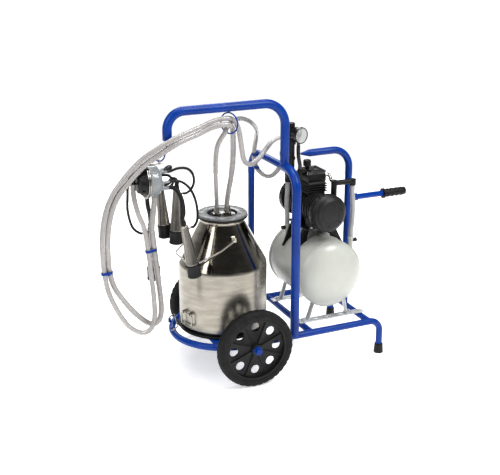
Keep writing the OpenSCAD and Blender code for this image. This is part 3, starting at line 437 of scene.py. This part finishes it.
for x, y, z in SOCKETS:
    ring = []
    for a in angles(28):
        px = x + SOCKET_R * math.cos(a)
        skin = TANK[2] + math.sqrt(max(SKIN_R ** 2 - (px - TANK[0]) ** 2, 0))
        ring.append((px, y + SOCKET_R * math.sin(a), skin))
    sockets.tube(ring, bead(1.8), 8, loop=True)
    sockets.revolve([(9, z - 8), (10.4, z - 7.4), (10.4, z - 1.2), (9, z - 0.6)], (x, y, 0), Z, 28)
sockets.make("socket_collars", "frame", "white_paint")

# ---- pump plumbing ----------------------------------------------------------

NEAR_HOSE = [
    (486, -80, 640), (486, -80, 615), (489, -82, 570), (489, -82, 510), (486, -80, 465), (486, -80, 440),
]
FAR_HOSE = [(290, 60, 640), (290, 60, 615), (288, 61, 560), (290, 60, 505), (290, 60, 476)]
DOWN_R = 9
down_hoses = Shape().tube(smooth(NEAR_HOSE, 8), DOWN_R, 20).tube(smooth(FAR_HOSE, 8), DOWN_R, 20)
down_hoses.make("down_hoses", "frame", "grey_hose", ["suction_hoses"])
HEAD_PIPE = [
    (396.3, -30, 678), (401, -30, 678), (409, -33, 676), (412, -40, 671), (411, -48, 665), (408, -56, 661),
    (408, -62, 660), (408, -68.9, 660),
]
PIPE_R = 6
cross_pipe = Shape().tube(smooth(HEAD_PIPE), PIPE_R, 18)
cross_pipe.revolve([(5, 0), (9, 0), (9, 5), (5, 5)], (396.4, -30, 678), X, 6)
cross_pipe.make("cross_pipe", "frame", "bright_steel", ["head_pipe"])
bolts = Shape()
LEG_BOLTS_X, LEG_BOLTS_Y, LEG_TOP = (280, 469), 113, 153.9
CRADLE_BOLTS_X, CRADLE_BOLTS_Y, CRADLE_TOP = (326, 394), 66, 490.1
for s in (-1, 1):
    for x in LEG_BOLTS_X:
        bolts.hex_bolt((x, s * LEG_BOLTS_Y, LEG_TOP), Z, 10, 5)
    for x in CRADLE_BOLTS_X:
        bolts.hex_bolt((x, s * CRADLE_BOLTS_Y, CRADLE_TOP), Z, 8, 4)
bolts.make("bolt_heads", "frame", "zinc_plate")
cover_screws = Shape()
MOTOR_X, MOTOR_Z, COVER_Y, SCREWS_R, RIB_R = 360, 560, 154.2, 44, 33
SCREW = [(0, 0), (3.2, 0), (3.2, 1.6), (2.6, 2.4), (1.5, 2.4), (1.5, 1), (0, 1)]
for s in (-1, 1):
    for k in range(6):
        a = math.radians(60 * k + 20)
        seat = (MOTOR_X + SCREWS_R * math.cos(a), s * COVER_Y, MOTOR_Z + SCREWS_R * math.sin(a))
        cover_screws.revolve(SCREW, seat, s * Y, 20)
    ring = [(MOTOR_X + RIB_R * math.cos(a), s * COVER_Y, MOTOR_Z + RIB_R * math.sin(a)) for a in angles(72)]
    cover_screws.tube(ring, 1.1, 8, loop=True)
cover_screws.make("cover_screws", "frame", "cover_plastic")
head_bolts = Shape()
HEAD_BOLTS_X, HEAD_BOLTS_Y, HEAD_TOP = (329, 391), (-30, 32), 684
for x in HEAD_BOLTS_X:
    for y in HEAD_BOLTS_Y:
        head_bolts.hex_bolt((x, y, HEAD_TOP), Z, 8, 9)
head_bolts.make("head_bolts", "frame", "zinc_plate")

# ---- gauge ------------------------------------------------------------------

gauge_turn = math.radians(15)
face_out = Vector((math.sin(gauge_turn), -math.cos(gauge_turn), 0))
face_right = Vector((math.cos(gauge_turn), math.sin(gauge_turn), 0))
GAUGE = Vector((283, -50, 838))
dial = Shape().revolve([(1.8, 1.05), (25.7, 1.05), (25.7, 1.5), (1.8, 1.5)], GAUGE, face_out, 64, closed=True)
dial.make("gauge_dial", "frame", "dial_face")
marks = Shape()
MARKS, FIRST_MARK, MARK_STEP, LONG_EVERY = 21, 225, 13.5, 5  # degrees, over the needle's 270
LONG_MARK, SHORT_MARK, MARKS_R, MARKS_UP = (4.6, 0.9, 0.3), (2.6, 0.45, 0.3), 23.6, 1.62
for k in range(MARKS):
    a = math.radians(FIRST_MARK - MARK_STEP * k)
    out = math.cos(a) * face_right + math.sin(a) * Z
    size = LONG_MARK if k % LONG_EVERY == 0 else SHORT_MARK
    turn = Matrix((out, face_out.cross(out), face_out)).transposed()
    marks.block(GAUGE + MARKS_UP * face_out + (MARKS_R - size[0] / 2) * out, size, turn)
marks.make("gauge_marks", "frame", "black_plastic")
bezel = [
    (25.8, 5.2), (26.6, 6.8), (28, 7.4), (29.4, 6.6), (29.8, 4.5), (29.8, -3.6), (29.1, -3.6), (29.1, 4),
    (26, 4.6),
]
Shape().revolve(bezel, GAUGE, face_out, 72, closed=True).make("gauge_bezel", "frame", "dial_case")
glass = [(0, 6.6), (12, 6.3), (25.9, 5.6), (25.9, 5), (12, 5.6), (0, 5.9)]
Shape().revolve(glass, GAUGE, face_out, 56).make("gauge_glass", "frame", "gauge_glass")

# ---- claw -------------------------------------------------------------------

CLAW = (-308, ARCH_Y, 748)
bowl_line = [
    (0, 0.2), (52.8, 0.2), (53, 4), (53, 25), (51.5, 30), (47, 36), (31, 45.5), (22, 47.6), (0, 48),
    (0, 45), (21, 44.6), (29, 43), (44.5, 34), (49, 28.5), (50.2, 24), (50.2, 3), (0, 3),
]
bowl = Shape().revolve(bowl_line, CLAW, X, 96)
MILK_SPOUTS = [(-117, 724), (-69, 772), (-69, 724)]
PULSE_SPOUTS = [(-128, 748), (-50, 750), (-104, 776)]
SPOUTS_FROM, SPOUTS_TO, MILK_SPOUT_R, PULSE_SPOUT_R = -276, -240, 6.4, 4


def spout(shape, start, end, r):
    """Barbed spout between two points."""
    start, end = Vector(start), Vector(end)
    reach = (end - start).length
    profile = [(0, 0), (r, 0), (r, reach - 11), (r + 0.8, reach - 10), (r, reach - 6), (r + 0.8, reach - 5),
               (r - 0.6, reach), (0, reach)]
    shape.revolve(profile, start, end - start, 24)


for y, z in MILK_SPOUTS:
    spout(bowl, (SPOUTS_FROM, y, z), (SPOUTS_TO, y, z), MILK_SPOUT_R)
for y, z in PULSE_SPOUTS:
    spout(bowl, (SPOUTS_FROM, y, z), (SPOUTS_TO, y, z), PULSE_SPOUT_R)
spout(bowl, (-284, ARCH_Y, 715), (-284, ARCH_Y, 690), 9)
spout(bowl, (-300, -66, 715), (-300, -66, 696), MILK_SPOUT_R)
bowl.make("clear_bowl", "cluster", "clear_plastic", ["claw_bowl"])
cap_line = [
    (0, -33.8), (35, -33.8), (37.5, -32), (45.8, -11), (46.5, -10.2), (51, -10), (51.5, -4), (51.5, -0.2),
    (0, -0.2),
]
cap = Shape().revolve(cap_line, CLAW, X, 96)
for a in angles(10):
    out = math.cos(a) * Y + math.sin(a) * Z
    turn = Matrix((X, out, X.cross(out))).transposed()
    cap.block(Vector(CLAW) + Vector((-20, 0, 0)) + 43 * out, (16, 3, 4), turn)
button = [(0, -371), (9.5, -371), (11.6, -369.6), (12, -367), (12, -340), (0, -340)]
cap.revolve(button, (0, ARCH_Y, 772), X, 40)
inlet = [(0, 743), (9.2, 743), (9.6, 745), (9.2, 748), (9.2, 768), (0, 768)]
cap.revolve(inlet, (-356, ARCH_Y, 0), Z, 28)
cap.revolve([(0, -353), (5, -353), (5, -338), (0, -338)], (0, -69, 736), X, 20)
cap.make("cap_cover", "cluster", "black_plastic", ["claw_cap"])
clamp = Shape()
BANDS_AT, EYE_X, EYE_Z, EYE_R, EYE_WIRE_R = (-8, -2.6), -262, 809, 7.5, 1.5
for h in BANDS_AT:
    band = [(51.6, h - 1.8), (57.4, h - 2), (58.3, h - 1), (58.3, h + 1), (57.4, h + 2), (51.6, h + 1.8)]
    clamp.revolve(band, CLAW, X, 96, closed=True)
clamp.tube(rounded([(-316, ARCH_Y, 803), (-300, ARCH_Y, 803.2), (-254, ARCH_Y, 803.2)], 6), 2, 12)
eye = [(EYE_X, ARCH_Y + EYE_R * math.cos(a), EYE_Z + EYE_R * math.sin(a)) for a in angles(32)]
clamp.tube(eye, EYE_WIRE_R, 10, loop=True)
clamp.make("clamp_bands", "cluster", "bright_steel", ["claw_cap"])

# ---- teat cups --------------------------------------------------------------

# Top of each cup, its lean in degrees, and the side that its pulse nipple points to.
CUPS = [
    ((-207, -165, 602), 10.7, 1), ((-239, -20, 709), 4.7, 1), ((-198, -77, 701), -2.1, 1),
    ((-282, -40, 567), 1.8, -1),
]
NIPPLE_DOWN, NIPPLE_FROM, NIPPLE_TO, NIPPLE_R = 14, 11, 24, 3.3


def cup_axis(lean_by):
    """The direction that a cup points in, down and leaning along X."""
    a = math.radians(lean_by)
    return Vector((math.sin(a), 0, -math.cos(a)))


def cup_tail(i, d):
    """A point d above the top of cup i, on its axis."""
    top, lean_by, _ = CUPS[i]
    return Vector(top) - d * cup_axis(lean_by)


def cup_nipple(i, d):
    """A point d out from cup i's axis, along its pulse nipple."""
    top, lean_by, side = CUPS[i]
    a = math.radians(lean_by)
    return Vector(top) + NIPPLE_DOWN * cup_axis(lean_by) + side * d * Vector((math.cos(a), 0, math.sin(a)))


MILK_TUBES = [
    [(-240, -117, 724), (-230, -117, 724), (-216, -123, 716), (-206, -136, 694), (-203, -148, 668),
     (-206, -160, 642), cup_tail(0, 28), cup_tail(0, 14)],
    [(-240, -69, 772), (-230, -69, 772), (-216, -62, 775), (-209, -44, 774), (-214, -28, 766),
     (-228, -21, 750), cup_tail(1, 26), cup_tail(1, 14)],
    [(-240, -69, 724), (-232, -69, 724), (-222, -70, 729), (-212, -73, 739), (-202, -76, 738),
     (-197, -77, 727), cup_tail(2, 18), cup_tail(2, 14)],
    [(-300, -66, 696), (-300, -66, 684), (-297, -61, 654), (-288, -50, 622), (-283, -41, 596),
     cup_tail(3, 14)],
]
PULSE_RUNS = [
    [(-240, -128, 748), (-230, -128, 748), (-200, -136, 744), (-174, -146, 718), (-160, -154, 680),
     (-156, -160, 640), (-160, -164, 612), cup_nipple(0, 34), cup_nipple(0, 24)],
    [(-240, -50, 750), (-231, -50, 750), (-214, -46, 745), (-200, -37, 730), (-193, -27, 712),
     cup_nipple(1, 36), cup_nipple(1, 24)],
    [(-240, -104, 776), (-230, -104, 776), (-200, -106, 784), (-168, -102, 778), (-146, -94, 756),
     (-138, -84, 722), (-148, -78, 696), cup_nipple(2, 34), cup_nipple(2, 24)],
    [(-353.1, -69, 736), (-361, -69, 736), (-366, -67, 724), (-366, -60, 690), (-366, -54, 650),
     (-358, -48, 606), (-344, -43, 572), cup_nipple(3, 38), cup_nipple(3, 24)],
]
# Radius and distance down the cup's axis from its top.
SHELL = [
    (8.2, -0.4), (11.4, -0.4), (12.5, 1), (12.5, 8), (13, 10), (20.4, 138), (21.2, 139.5), (21.2, 142),
    (19.2, 142), (18.6, 138), (11, 10), (8.2, 8),
]
MOUTH = [
    (11, 142.2), (22, 142.2), (23.4, 144), (23.6, 150), (22.6, 152), (23, 178), (24.2, 184), (24, 188),
    (21, 190), (14, 190), (12.6, 187), (12.6, 160), (11, 158),
]
SLEEVE = [(0, -14), (9, -14), (9.6, -12), (9, -9), (9.4, -2), (8, -0.5), (0, -0.5)]
MILK_TUBE_R, PULSE_TUBE_R = 7.5, 4.5
shells, heads, necks, thin = Shape(), Shape(), Shape(), Shape()
for i, (top, lean_by, _) in enumerate(CUPS):
    axis = cup_axis(lean_by)
    shells.revolve(SHELL, top, axis, 56, closed=True)
    spout(shells, cup_nipple(i, NIPPLE_FROM), cup_nipple(i, NIPPLE_TO), NIPPLE_R)
    heads.revolve(MOUTH, top, axis, 56, closed=True)
    necks.revolve(SLEEVE, top, axis, 32)
    necks.tube(smooth(MILK_TUBES[i]), MILK_TUBE_R, 18)
    thin.tube(smooth(PULSE_RUNS[i]), PULSE_TUBE_R, 14)
shells.make("cup_cases", "cluster", "bright_steel", ["cup_shells"])
heads.make("cup_mouths", "cluster", "black_rubber", ["cup_liners"])
necks.make("short_milk_tubes", "cluster", "black_rubber", ["cup_liners"])
thin.make("short_pulse_tubes", "cluster", "black_rubber", ["pulse_tubes"])

# ---- welds on the frame ------------------------------------------------------

RAIL_Y, RAIL_Z, TUBE_R = 190, 133, 12.5
FRONT_BAR_X, REAR_BAR_X, HOOP_X, HANDLE_Z, ARCH_FOOT_Z = 270, 514, 200, 565, 742
THIN_BEAD, BEAD, THICK_BEAD = 1.8, 2, 2.1
welds = Shape()


def weld_round(centre, branch, main, branch_r, main_r, thick):
    """A weld bead where a branch tube meets the main tube."""
    welds.tube(saddle(centre, branch, main, branch_r, main_r), bead(thick), 8, loop=True)


for s in (-1, 1):
    weld_round((HOOP_X, s * RAIL_Y, RAIL_Z), Z, X, 12.4, TUBE_R + 0.4, BEAD)
for x in (FRONT_BAR_X, REAR_BAR_X):
    for s in (-1, 1):
        weld_round((x, s * RAIL_Y, RAIL_Z), -s * Y, X, 12, TUBE_R + 0.4, THIN_BEAD)
for s in (-1, 1):
    weld_round((WHEEL[0], s * RAIL_Y, WHEEL[2]), s * Y, X, 10, TUBE_R, THIN_BEAD)
weld_round((REAR_BAR_X, 0, RAIL_Z), Z, Y, 12.3, 12.6, BEAD)
weld_round((REAR_BAR_X, 0, HANDLE_Z), X, Z, 13.3, 14, THIN_BEAD)
weld_round((HOOP_X, ARCH_Y, ARCH_FOOT_Z), Z, Y, 15.8, 16.4, THICK_BEAD)
welds.make("weld_beads", "frame", "blue_paint")

# ---- materials --------------------------------------------------------------


def srgb(r, g, b):
    """An 8-bit screen colour as linear values."""
    def one(v):
        v /= 255
        return v / 12.92 if v <= 0.04045 else ((v + 0.055) / 1.055) ** 2.4
    return (one(r), one(g), one(b), 1)


class Finish:
    """A Principled material whose colour, roughness and bump vary over the surface."""

    def __init__(self, name, **fixed):
        self.material = bpy.data.materials.new(name)
        self.material.use_nodes = True
        self.tree = self.material.node_tree
        self.shader = self.tree.nodes["Principled BSDF"]
        self.place = self.add("ShaderNodeTexCoord").outputs["Object"]
        for socket, value in fixed.items():
            self.shader.inputs[socket.replace("_", " ")].default_value = value

    def add(self, kind, **values):
        node = self.tree.nodes.new(kind)
        for key, value in values.items():
            setattr(node, key, value)
        return node

    def join(self, a, b):
        self.tree.links.new(a, b)
        return self

    def noise(self, scale, detail=4, stretch=(1, 1, 1), rough=0.55):
        """Noise from 0 to 1 over the surface, scale in waves a metre."""
        mapping = self.add("ShaderNodeMapping")
        mapping.inputs["Scale"].default_value = stretch
        self.join(self.place, mapping.inputs["Vector"])
        node = self.add("ShaderNodeTexNoise")
        node.inputs["Scale"].default_value = scale
        node.inputs["Detail"].default_value = detail
        node.inputs["Roughness"].default_value = rough
        self.join(mapping.outputs["Vector"], node.inputs["Vector"])
        return node.outputs["Fac"]

    def span(self, value, low, high, to_low, to_high):
        """value between low and high, mapped to the range from to_low to to_high."""
        node = self.add("ShaderNodeMapRange")
        ends = {"From Min": low, "From Max": high, "To Min": to_low, "To Max": to_high}
        for socket, number in ends.items():
            node.inputs[socket].default_value = number
        self.join(value, node.inputs["Value"])
        return node.outputs["Result"]

    def mix(self, factor, a, b):
        """Colour a where factor is 0 and b where it is 1; either may be a socket."""
        node = self.add("ShaderNodeMix", data_type="RGBA")
        self.join(factor, node.inputs["Factor"])
        for socket, colour in ((node.inputs[6], a), (node.inputs[7], b)):
            if isinstance(colour, tuple):
                socket.default_value = colour
            else:
                self.join(colour, socket)
        return node.outputs[2]

    def height(self, low, high):
        """0 at height low, 1 at height high, in metres."""
        split = self.add("ShaderNodeSeparateXYZ")
        self.join(self.place, split.inputs["Vector"])
        return self.span(split.outputs["Z"], low, high, 0, 1)

    def colour(self, value):
        return self.join(value, self.shader.inputs["Base Color"])

    def rough(self, value):
        return self.join(value, self.shader.inputs["Roughness"])

    def bump(self, value, strength, distance=0.001):
        node = self.add("ShaderNodeBump")
        node.inputs["Strength"].default_value = strength
        node.inputs["Distance"].default_value = distance
        self.join(value, node.inputs["Height"])
        return self.join(node.outputs["Normal"], self.shader.inputs["Normal"])


def worn(name, base, tint, worn_to, rough, grain, strength, wear=0.62, stretch=(1, 1, 1), **fixed):
    """Base colour drifting to a tint, with small worn or dusty patches and a fine grain."""
    f = Finish(name, **fixed)
    drift = f.mix(f.span(f.noise(9), 0.35, 0.7, 0, 1), srgb(*base), srgb(*tint))
    patches = f.span(f.noise(70, 7, stretch, 0.7), wear, wear + 0.06, 0, 0.75)
    f.colour(f.mix(patches, drift, srgb(*worn_to)))
    f.rough(f.span(f.noise(38, 5, stretch), 0.3, 0.7, rough[0], rough[1]))
    f.bump(f.noise(grain, 5, stretch), strength)
    return f.material


SHOULDER_HEIGHTS = 0.392, 0.4  # metres above the floor, where brushed steel turns to polished


def bucket_steel():
    """Polished steel above the shoulder, and brushed round the straight side below it."""
    f = Finish("bucket_steel", Metallic=1)
    shade = f.mix(f.span(f.noise(14, 5, (1, 1, 4)), 0.35, 0.7, 0, 1),
                  srgb(158, 153, 143), srgb(134, 129, 119))
    stains = f.span(f.noise(55, 6, (1, 1, 0.4), 0.7), 0.62, 0.74, 0, 0.5)
    f.colour(f.mix(stains, shade, srgb(112, 105, 94)))
    satin = f.span(f.noise(260, 4, (0.05, 0.05, 1)), 0.3, 0.7, 0.26, 0.36)
    polish = f.span(f.noise(22, 4), 0.3, 0.7, 0.07, 0.15)
    blend = f.add("ShaderNodeMix", data_type="FLOAT")
    f.join(f.height(*SHOULDER_HEIGHTS), blend.inputs["Factor"])
    f.join(satin, blend.inputs[2])
    f.join(polish, blend.inputs[3])
    f.rough(blend.outputs[0])
    f.bump(f.noise(320, 3, (0.06, 0.06, 1)), 0.02, 0.0003)
    return f.material


SOFT = {"Specular_IOR_Level": 0.25}
GLOSS = {"Coat_Weight": 0.2, "Coat_Roughness": 0.15}
METAL = {"Metallic": 1}
LOOKS = {
    "blue_paint": worn(
        "blue_paint", (0, 54, 142), (0, 44, 120), (14, 66, 140), (0.26, 0.42), 420, 0.08, 0.69,
        Specular_IOR_Level=0.2),
    "black_plastic": worn(
        "black_plastic", (8, 8, 9), (13, 13, 14), (32, 32, 32), (0.36, 0.55), 900, 0.12, **SOFT),
    "tyre_rubber": worn(
        "tyre_rubber", (12, 12, 12), (19, 18, 18), (44, 41, 38), (0.62, 0.85), 700, 0.25, 0.62, **SOFT),
    "bucket_steel": bucket_steel(),
    "bright_steel": worn(
        "bright_steel", (168, 164, 157), (140, 136, 129), (108, 102, 94), (0.1, 0.24), 600, 0.03, 0.66,
        **METAL),
    "zinc_plate": worn(
        "zinc_plate", (216, 218, 219), (190, 192, 195), (150, 147, 140), (0.3, 0.5), 260, 0.1, 0.62,
        Metallic=0.55),
    "white_paint": worn(
        "white_paint", (190, 192, 184), (178, 179, 171), (142, 136, 122), (0.28, 0.42), 350, 0.08, 0.68,
        **GLOSS),
    "black_paint": worn(
        "black_paint", (9, 9, 10), (14, 14, 15), (38, 37, 35), (0.3, 0.48), 420, 0.1, 0.66, **SOFT),
    "pump_black": worn(
        "pump_black", (9, 9, 10), (16, 16, 17), (40, 38, 36), (0.38, 0.58), 620, 0.35, 0.65, **SOFT),
    "cover_plastic": worn(
        "cover_plastic", (22, 22, 22), (29, 29, 28), (52, 50, 48), (0.34, 0.5), 800, 0.12, 0.66, **SOFT),
    "black_rubber": worn(
        "black_rubber", (7, 7, 8), (12, 12, 13), (30, 29, 28), (0.42, 0.62), 800, 0.12, 0.67, **SOFT),
    "grey_hose": worn(
        "grey_hose", (164, 166, 166), (146, 149, 150), (118, 116, 111), (0.36, 0.52), 500, 0.08, 0.66),
    "clear_hose": worn(
        "clear_hose", (172, 168, 166), (156, 152, 150), (130, 125, 118), (0.2, 0.3), 900, 0.03, 0.72,
        Transmission_Weight=0.15, IOR=1.4, Coat_Weight=0.6, Coat_Roughness=0.1),
    "clear_plastic": worn(
        "clear_plastic", (176, 180, 183), (160, 164, 168), (134, 134, 130), (0.12, 0.24), 120, 0.03, 0.7,
        Transmission_Weight=0.45, IOR=1.46),
    "lid_plastic": worn(
        "lid_plastic", (122, 124, 124), (104, 106, 107), (84, 82, 79), (0.18, 0.32), 400, 0.06, 0.66,
        Transmission_Weight=0.15),
    "dark_window": worn(
        "dark_window", (22, 23, 24), (32, 33, 34), (58, 58, 56), (0.08, 0.2), 200, 0.04, 0.7,
        Transmission_Weight=0.2, IOR=1.46),
    "dial_case": worn(
        "dial_case", (16, 17, 19), (24, 26, 29), (70, 72, 76), (0.22, 0.38), 500, 0.08, 0.66),
    "dial_face": worn(
        "dial_face", (214, 217, 218), (204, 207, 208), (180, 178, 170), (0.4, 0.55), 700, 0.04, 0.72),
    "gauge_glass": worn(
        "gauge_glass", (240, 242, 243), (234, 237, 238), (215, 215, 210), (0.03, 0.08), 90, 0.02, 0.74,
        Transmission_Weight=1.0, IOR=1.45),
    "machined_steel": worn(
        "machined_steel", (150, 152, 155), (128, 130, 134), (100, 98, 94), (0.25, 0.4), 500, 0.08, **METAL),
    "copper_winding": worn(
        "copper_winding", (150, 86, 50), (122, 66, 36), (84, 52, 34), (0.3, 0.45), 300, 0.5, **METAL),
}

node_slot = {p["node"]: p["material_slot"] for p in frame["record"]["subparts"]}
SMOOTH_ANGLE, EDGE_ANGLE, EDGE_WIDTH, WELD_GAP = math.radians(35), math.radians(50), 0.0007, 0.00001
for name, obj in nodes.items():
    obj.data.materials.clear()
    obj.data.materials.append(LOOKS[node_slot[name]])
    weld = obj.modifiers.new("weld", "WELD")
    weld.merge_threshold = WELD_GAP
    edge = obj.modifiers.new("edge", "BEVEL")
    edge.width = EDGE_WIDTH
    edge.segments = 2
    edge.limit_method = "ANGLE"
    edge.angle_limit = EDGE_ANGLE
    obj.data.shade_smooth()
    obj.data.set_sharp_from_angle(angle=SMOOTH_ANGLE)
for obj, look in made_looks:
    obj.data.materials.append(LOOKS[look])

# ---- stage and light --------------------------------------------------------

floor = bpy.data.objects.new("floor", bpy.data.meshes.new("floor"))
FLOOR_R, FLOOR_SIDES, FLOOR_DROP = 2.6, 64, 0.0005
rim = [(FLOOR_R * math.cos(a), FLOOR_R * math.sin(a), -FLOOR_DROP) for a in angles(FLOOR_SIDES)]
floor.data.from_pydata(rim, [], [tuple(range(FLOOR_SIDES))])
bpy.context.scene.collection.objects.link(floor)
paper = Finish("studio_floor")
paper.colour(paper.mix(paper.noise(2), srgb(250, 250, 250), srgb(245, 245, 245)))
paper.shader.inputs["Roughness"].default_value = 0.9
paper.shader.inputs["Emission Color"].default_value = (1, 1, 1, 1)
paper.shader.inputs["Emission Strength"].default_value = 0.5
floor.data.materials.append(paper.material)


def soft_light(name, place, target, size, watts):
    data = bpy.data.lights.new(name, "AREA")
    data.shape = "DISK"
    data.size = size
    data.energy = watts
    obj = bpy.data.objects.new(name, data)
    bpy.context.scene.collection.objects.link(obj)
    obj.location = place
    obj.rotation_euler = (Vector(target) - Vector(place)).to_track_quat("-Z", "Y").to_euler()


soft_light("key", (1.6, -2.6, 3.6), (0, 0, 0.4), 1.8, 130)
soft_light("fill", (-3.2, -1.2, 2.6), (0, 0, 0.4), 2.2, 60)
soft_light("back", (0.6, 3.2, 3.0), (0, 0, 0.5), 2.2, 90)
soft_light("top", (0, 0, 4.2), (0, 0, 0), 2.6, 90)

world = bpy.data.worlds.new("studio")
bpy.context.scene.world = world
world.use_nodes = True
tree = world.node_tree
tree.nodes.clear()
out = tree.nodes.new("ShaderNodeOutputWorld")
seen = tree.nodes.new("ShaderNodeBackground")
seen.inputs["Color"].default_value = (1, 1, 1, 1)
seen.inputs["Strength"].default_value = 1.05
lit = tree.nodes.new("ShaderNodeBackground")
lit.inputs["Strength"].default_value = 0.9
where = tree.nodes.new("ShaderNodeTexCoord")
split = tree.nodes.new("ShaderNodeSeparateXYZ")
ramp = tree.nodes.new("ShaderNodeValToRGB")
ramp.color_ramp.elements[0].position = 0.5
ramp.color_ramp.elements[0].color = (0.75, 0.75, 0.75, 1)
ramp.color_ramp.elements[1].position = 1.0
ramp.color_ramp.elements[1].color = (1, 1, 1, 1)
for position, grey in ((0.56, 0.3), (0.66, 0.05), (0.86, 0.06), (0.93, 0.9)):
    step = ramp.color_ramp.elements.new(position)
    step.color = (grey, grey, grey, 1)
shift = tree.nodes.new("ShaderNodeMapRange")
shift.inputs["From Min"].default_value = -1
path = tree.nodes.new("ShaderNodeLightPath")
choose = tree.nodes.new("ShaderNodeMixShader")
for a, b in (
    (where.outputs["Generated"], split.inputs["Vector"]),
    (split.outputs["Z"], shift.inputs["Value"]),
    (shift.outputs["Result"], ramp.inputs["Fac"]),
    (ramp.outputs["Color"], lit.inputs["Color"]),
    (path.outputs["Is Camera Ray"], choose.inputs["Fac"]),
    (lit.outputs["Background"], choose.inputs[1]),
    (seen.outputs["Background"], choose.inputs[2]),
    (choose.outputs["Shader"], out.inputs["Surface"]),
):
    tree.links.new(a, b)
bpy.context.scene.view_settings.view_transform = "Standard"

bpy.context.view_layer.update()
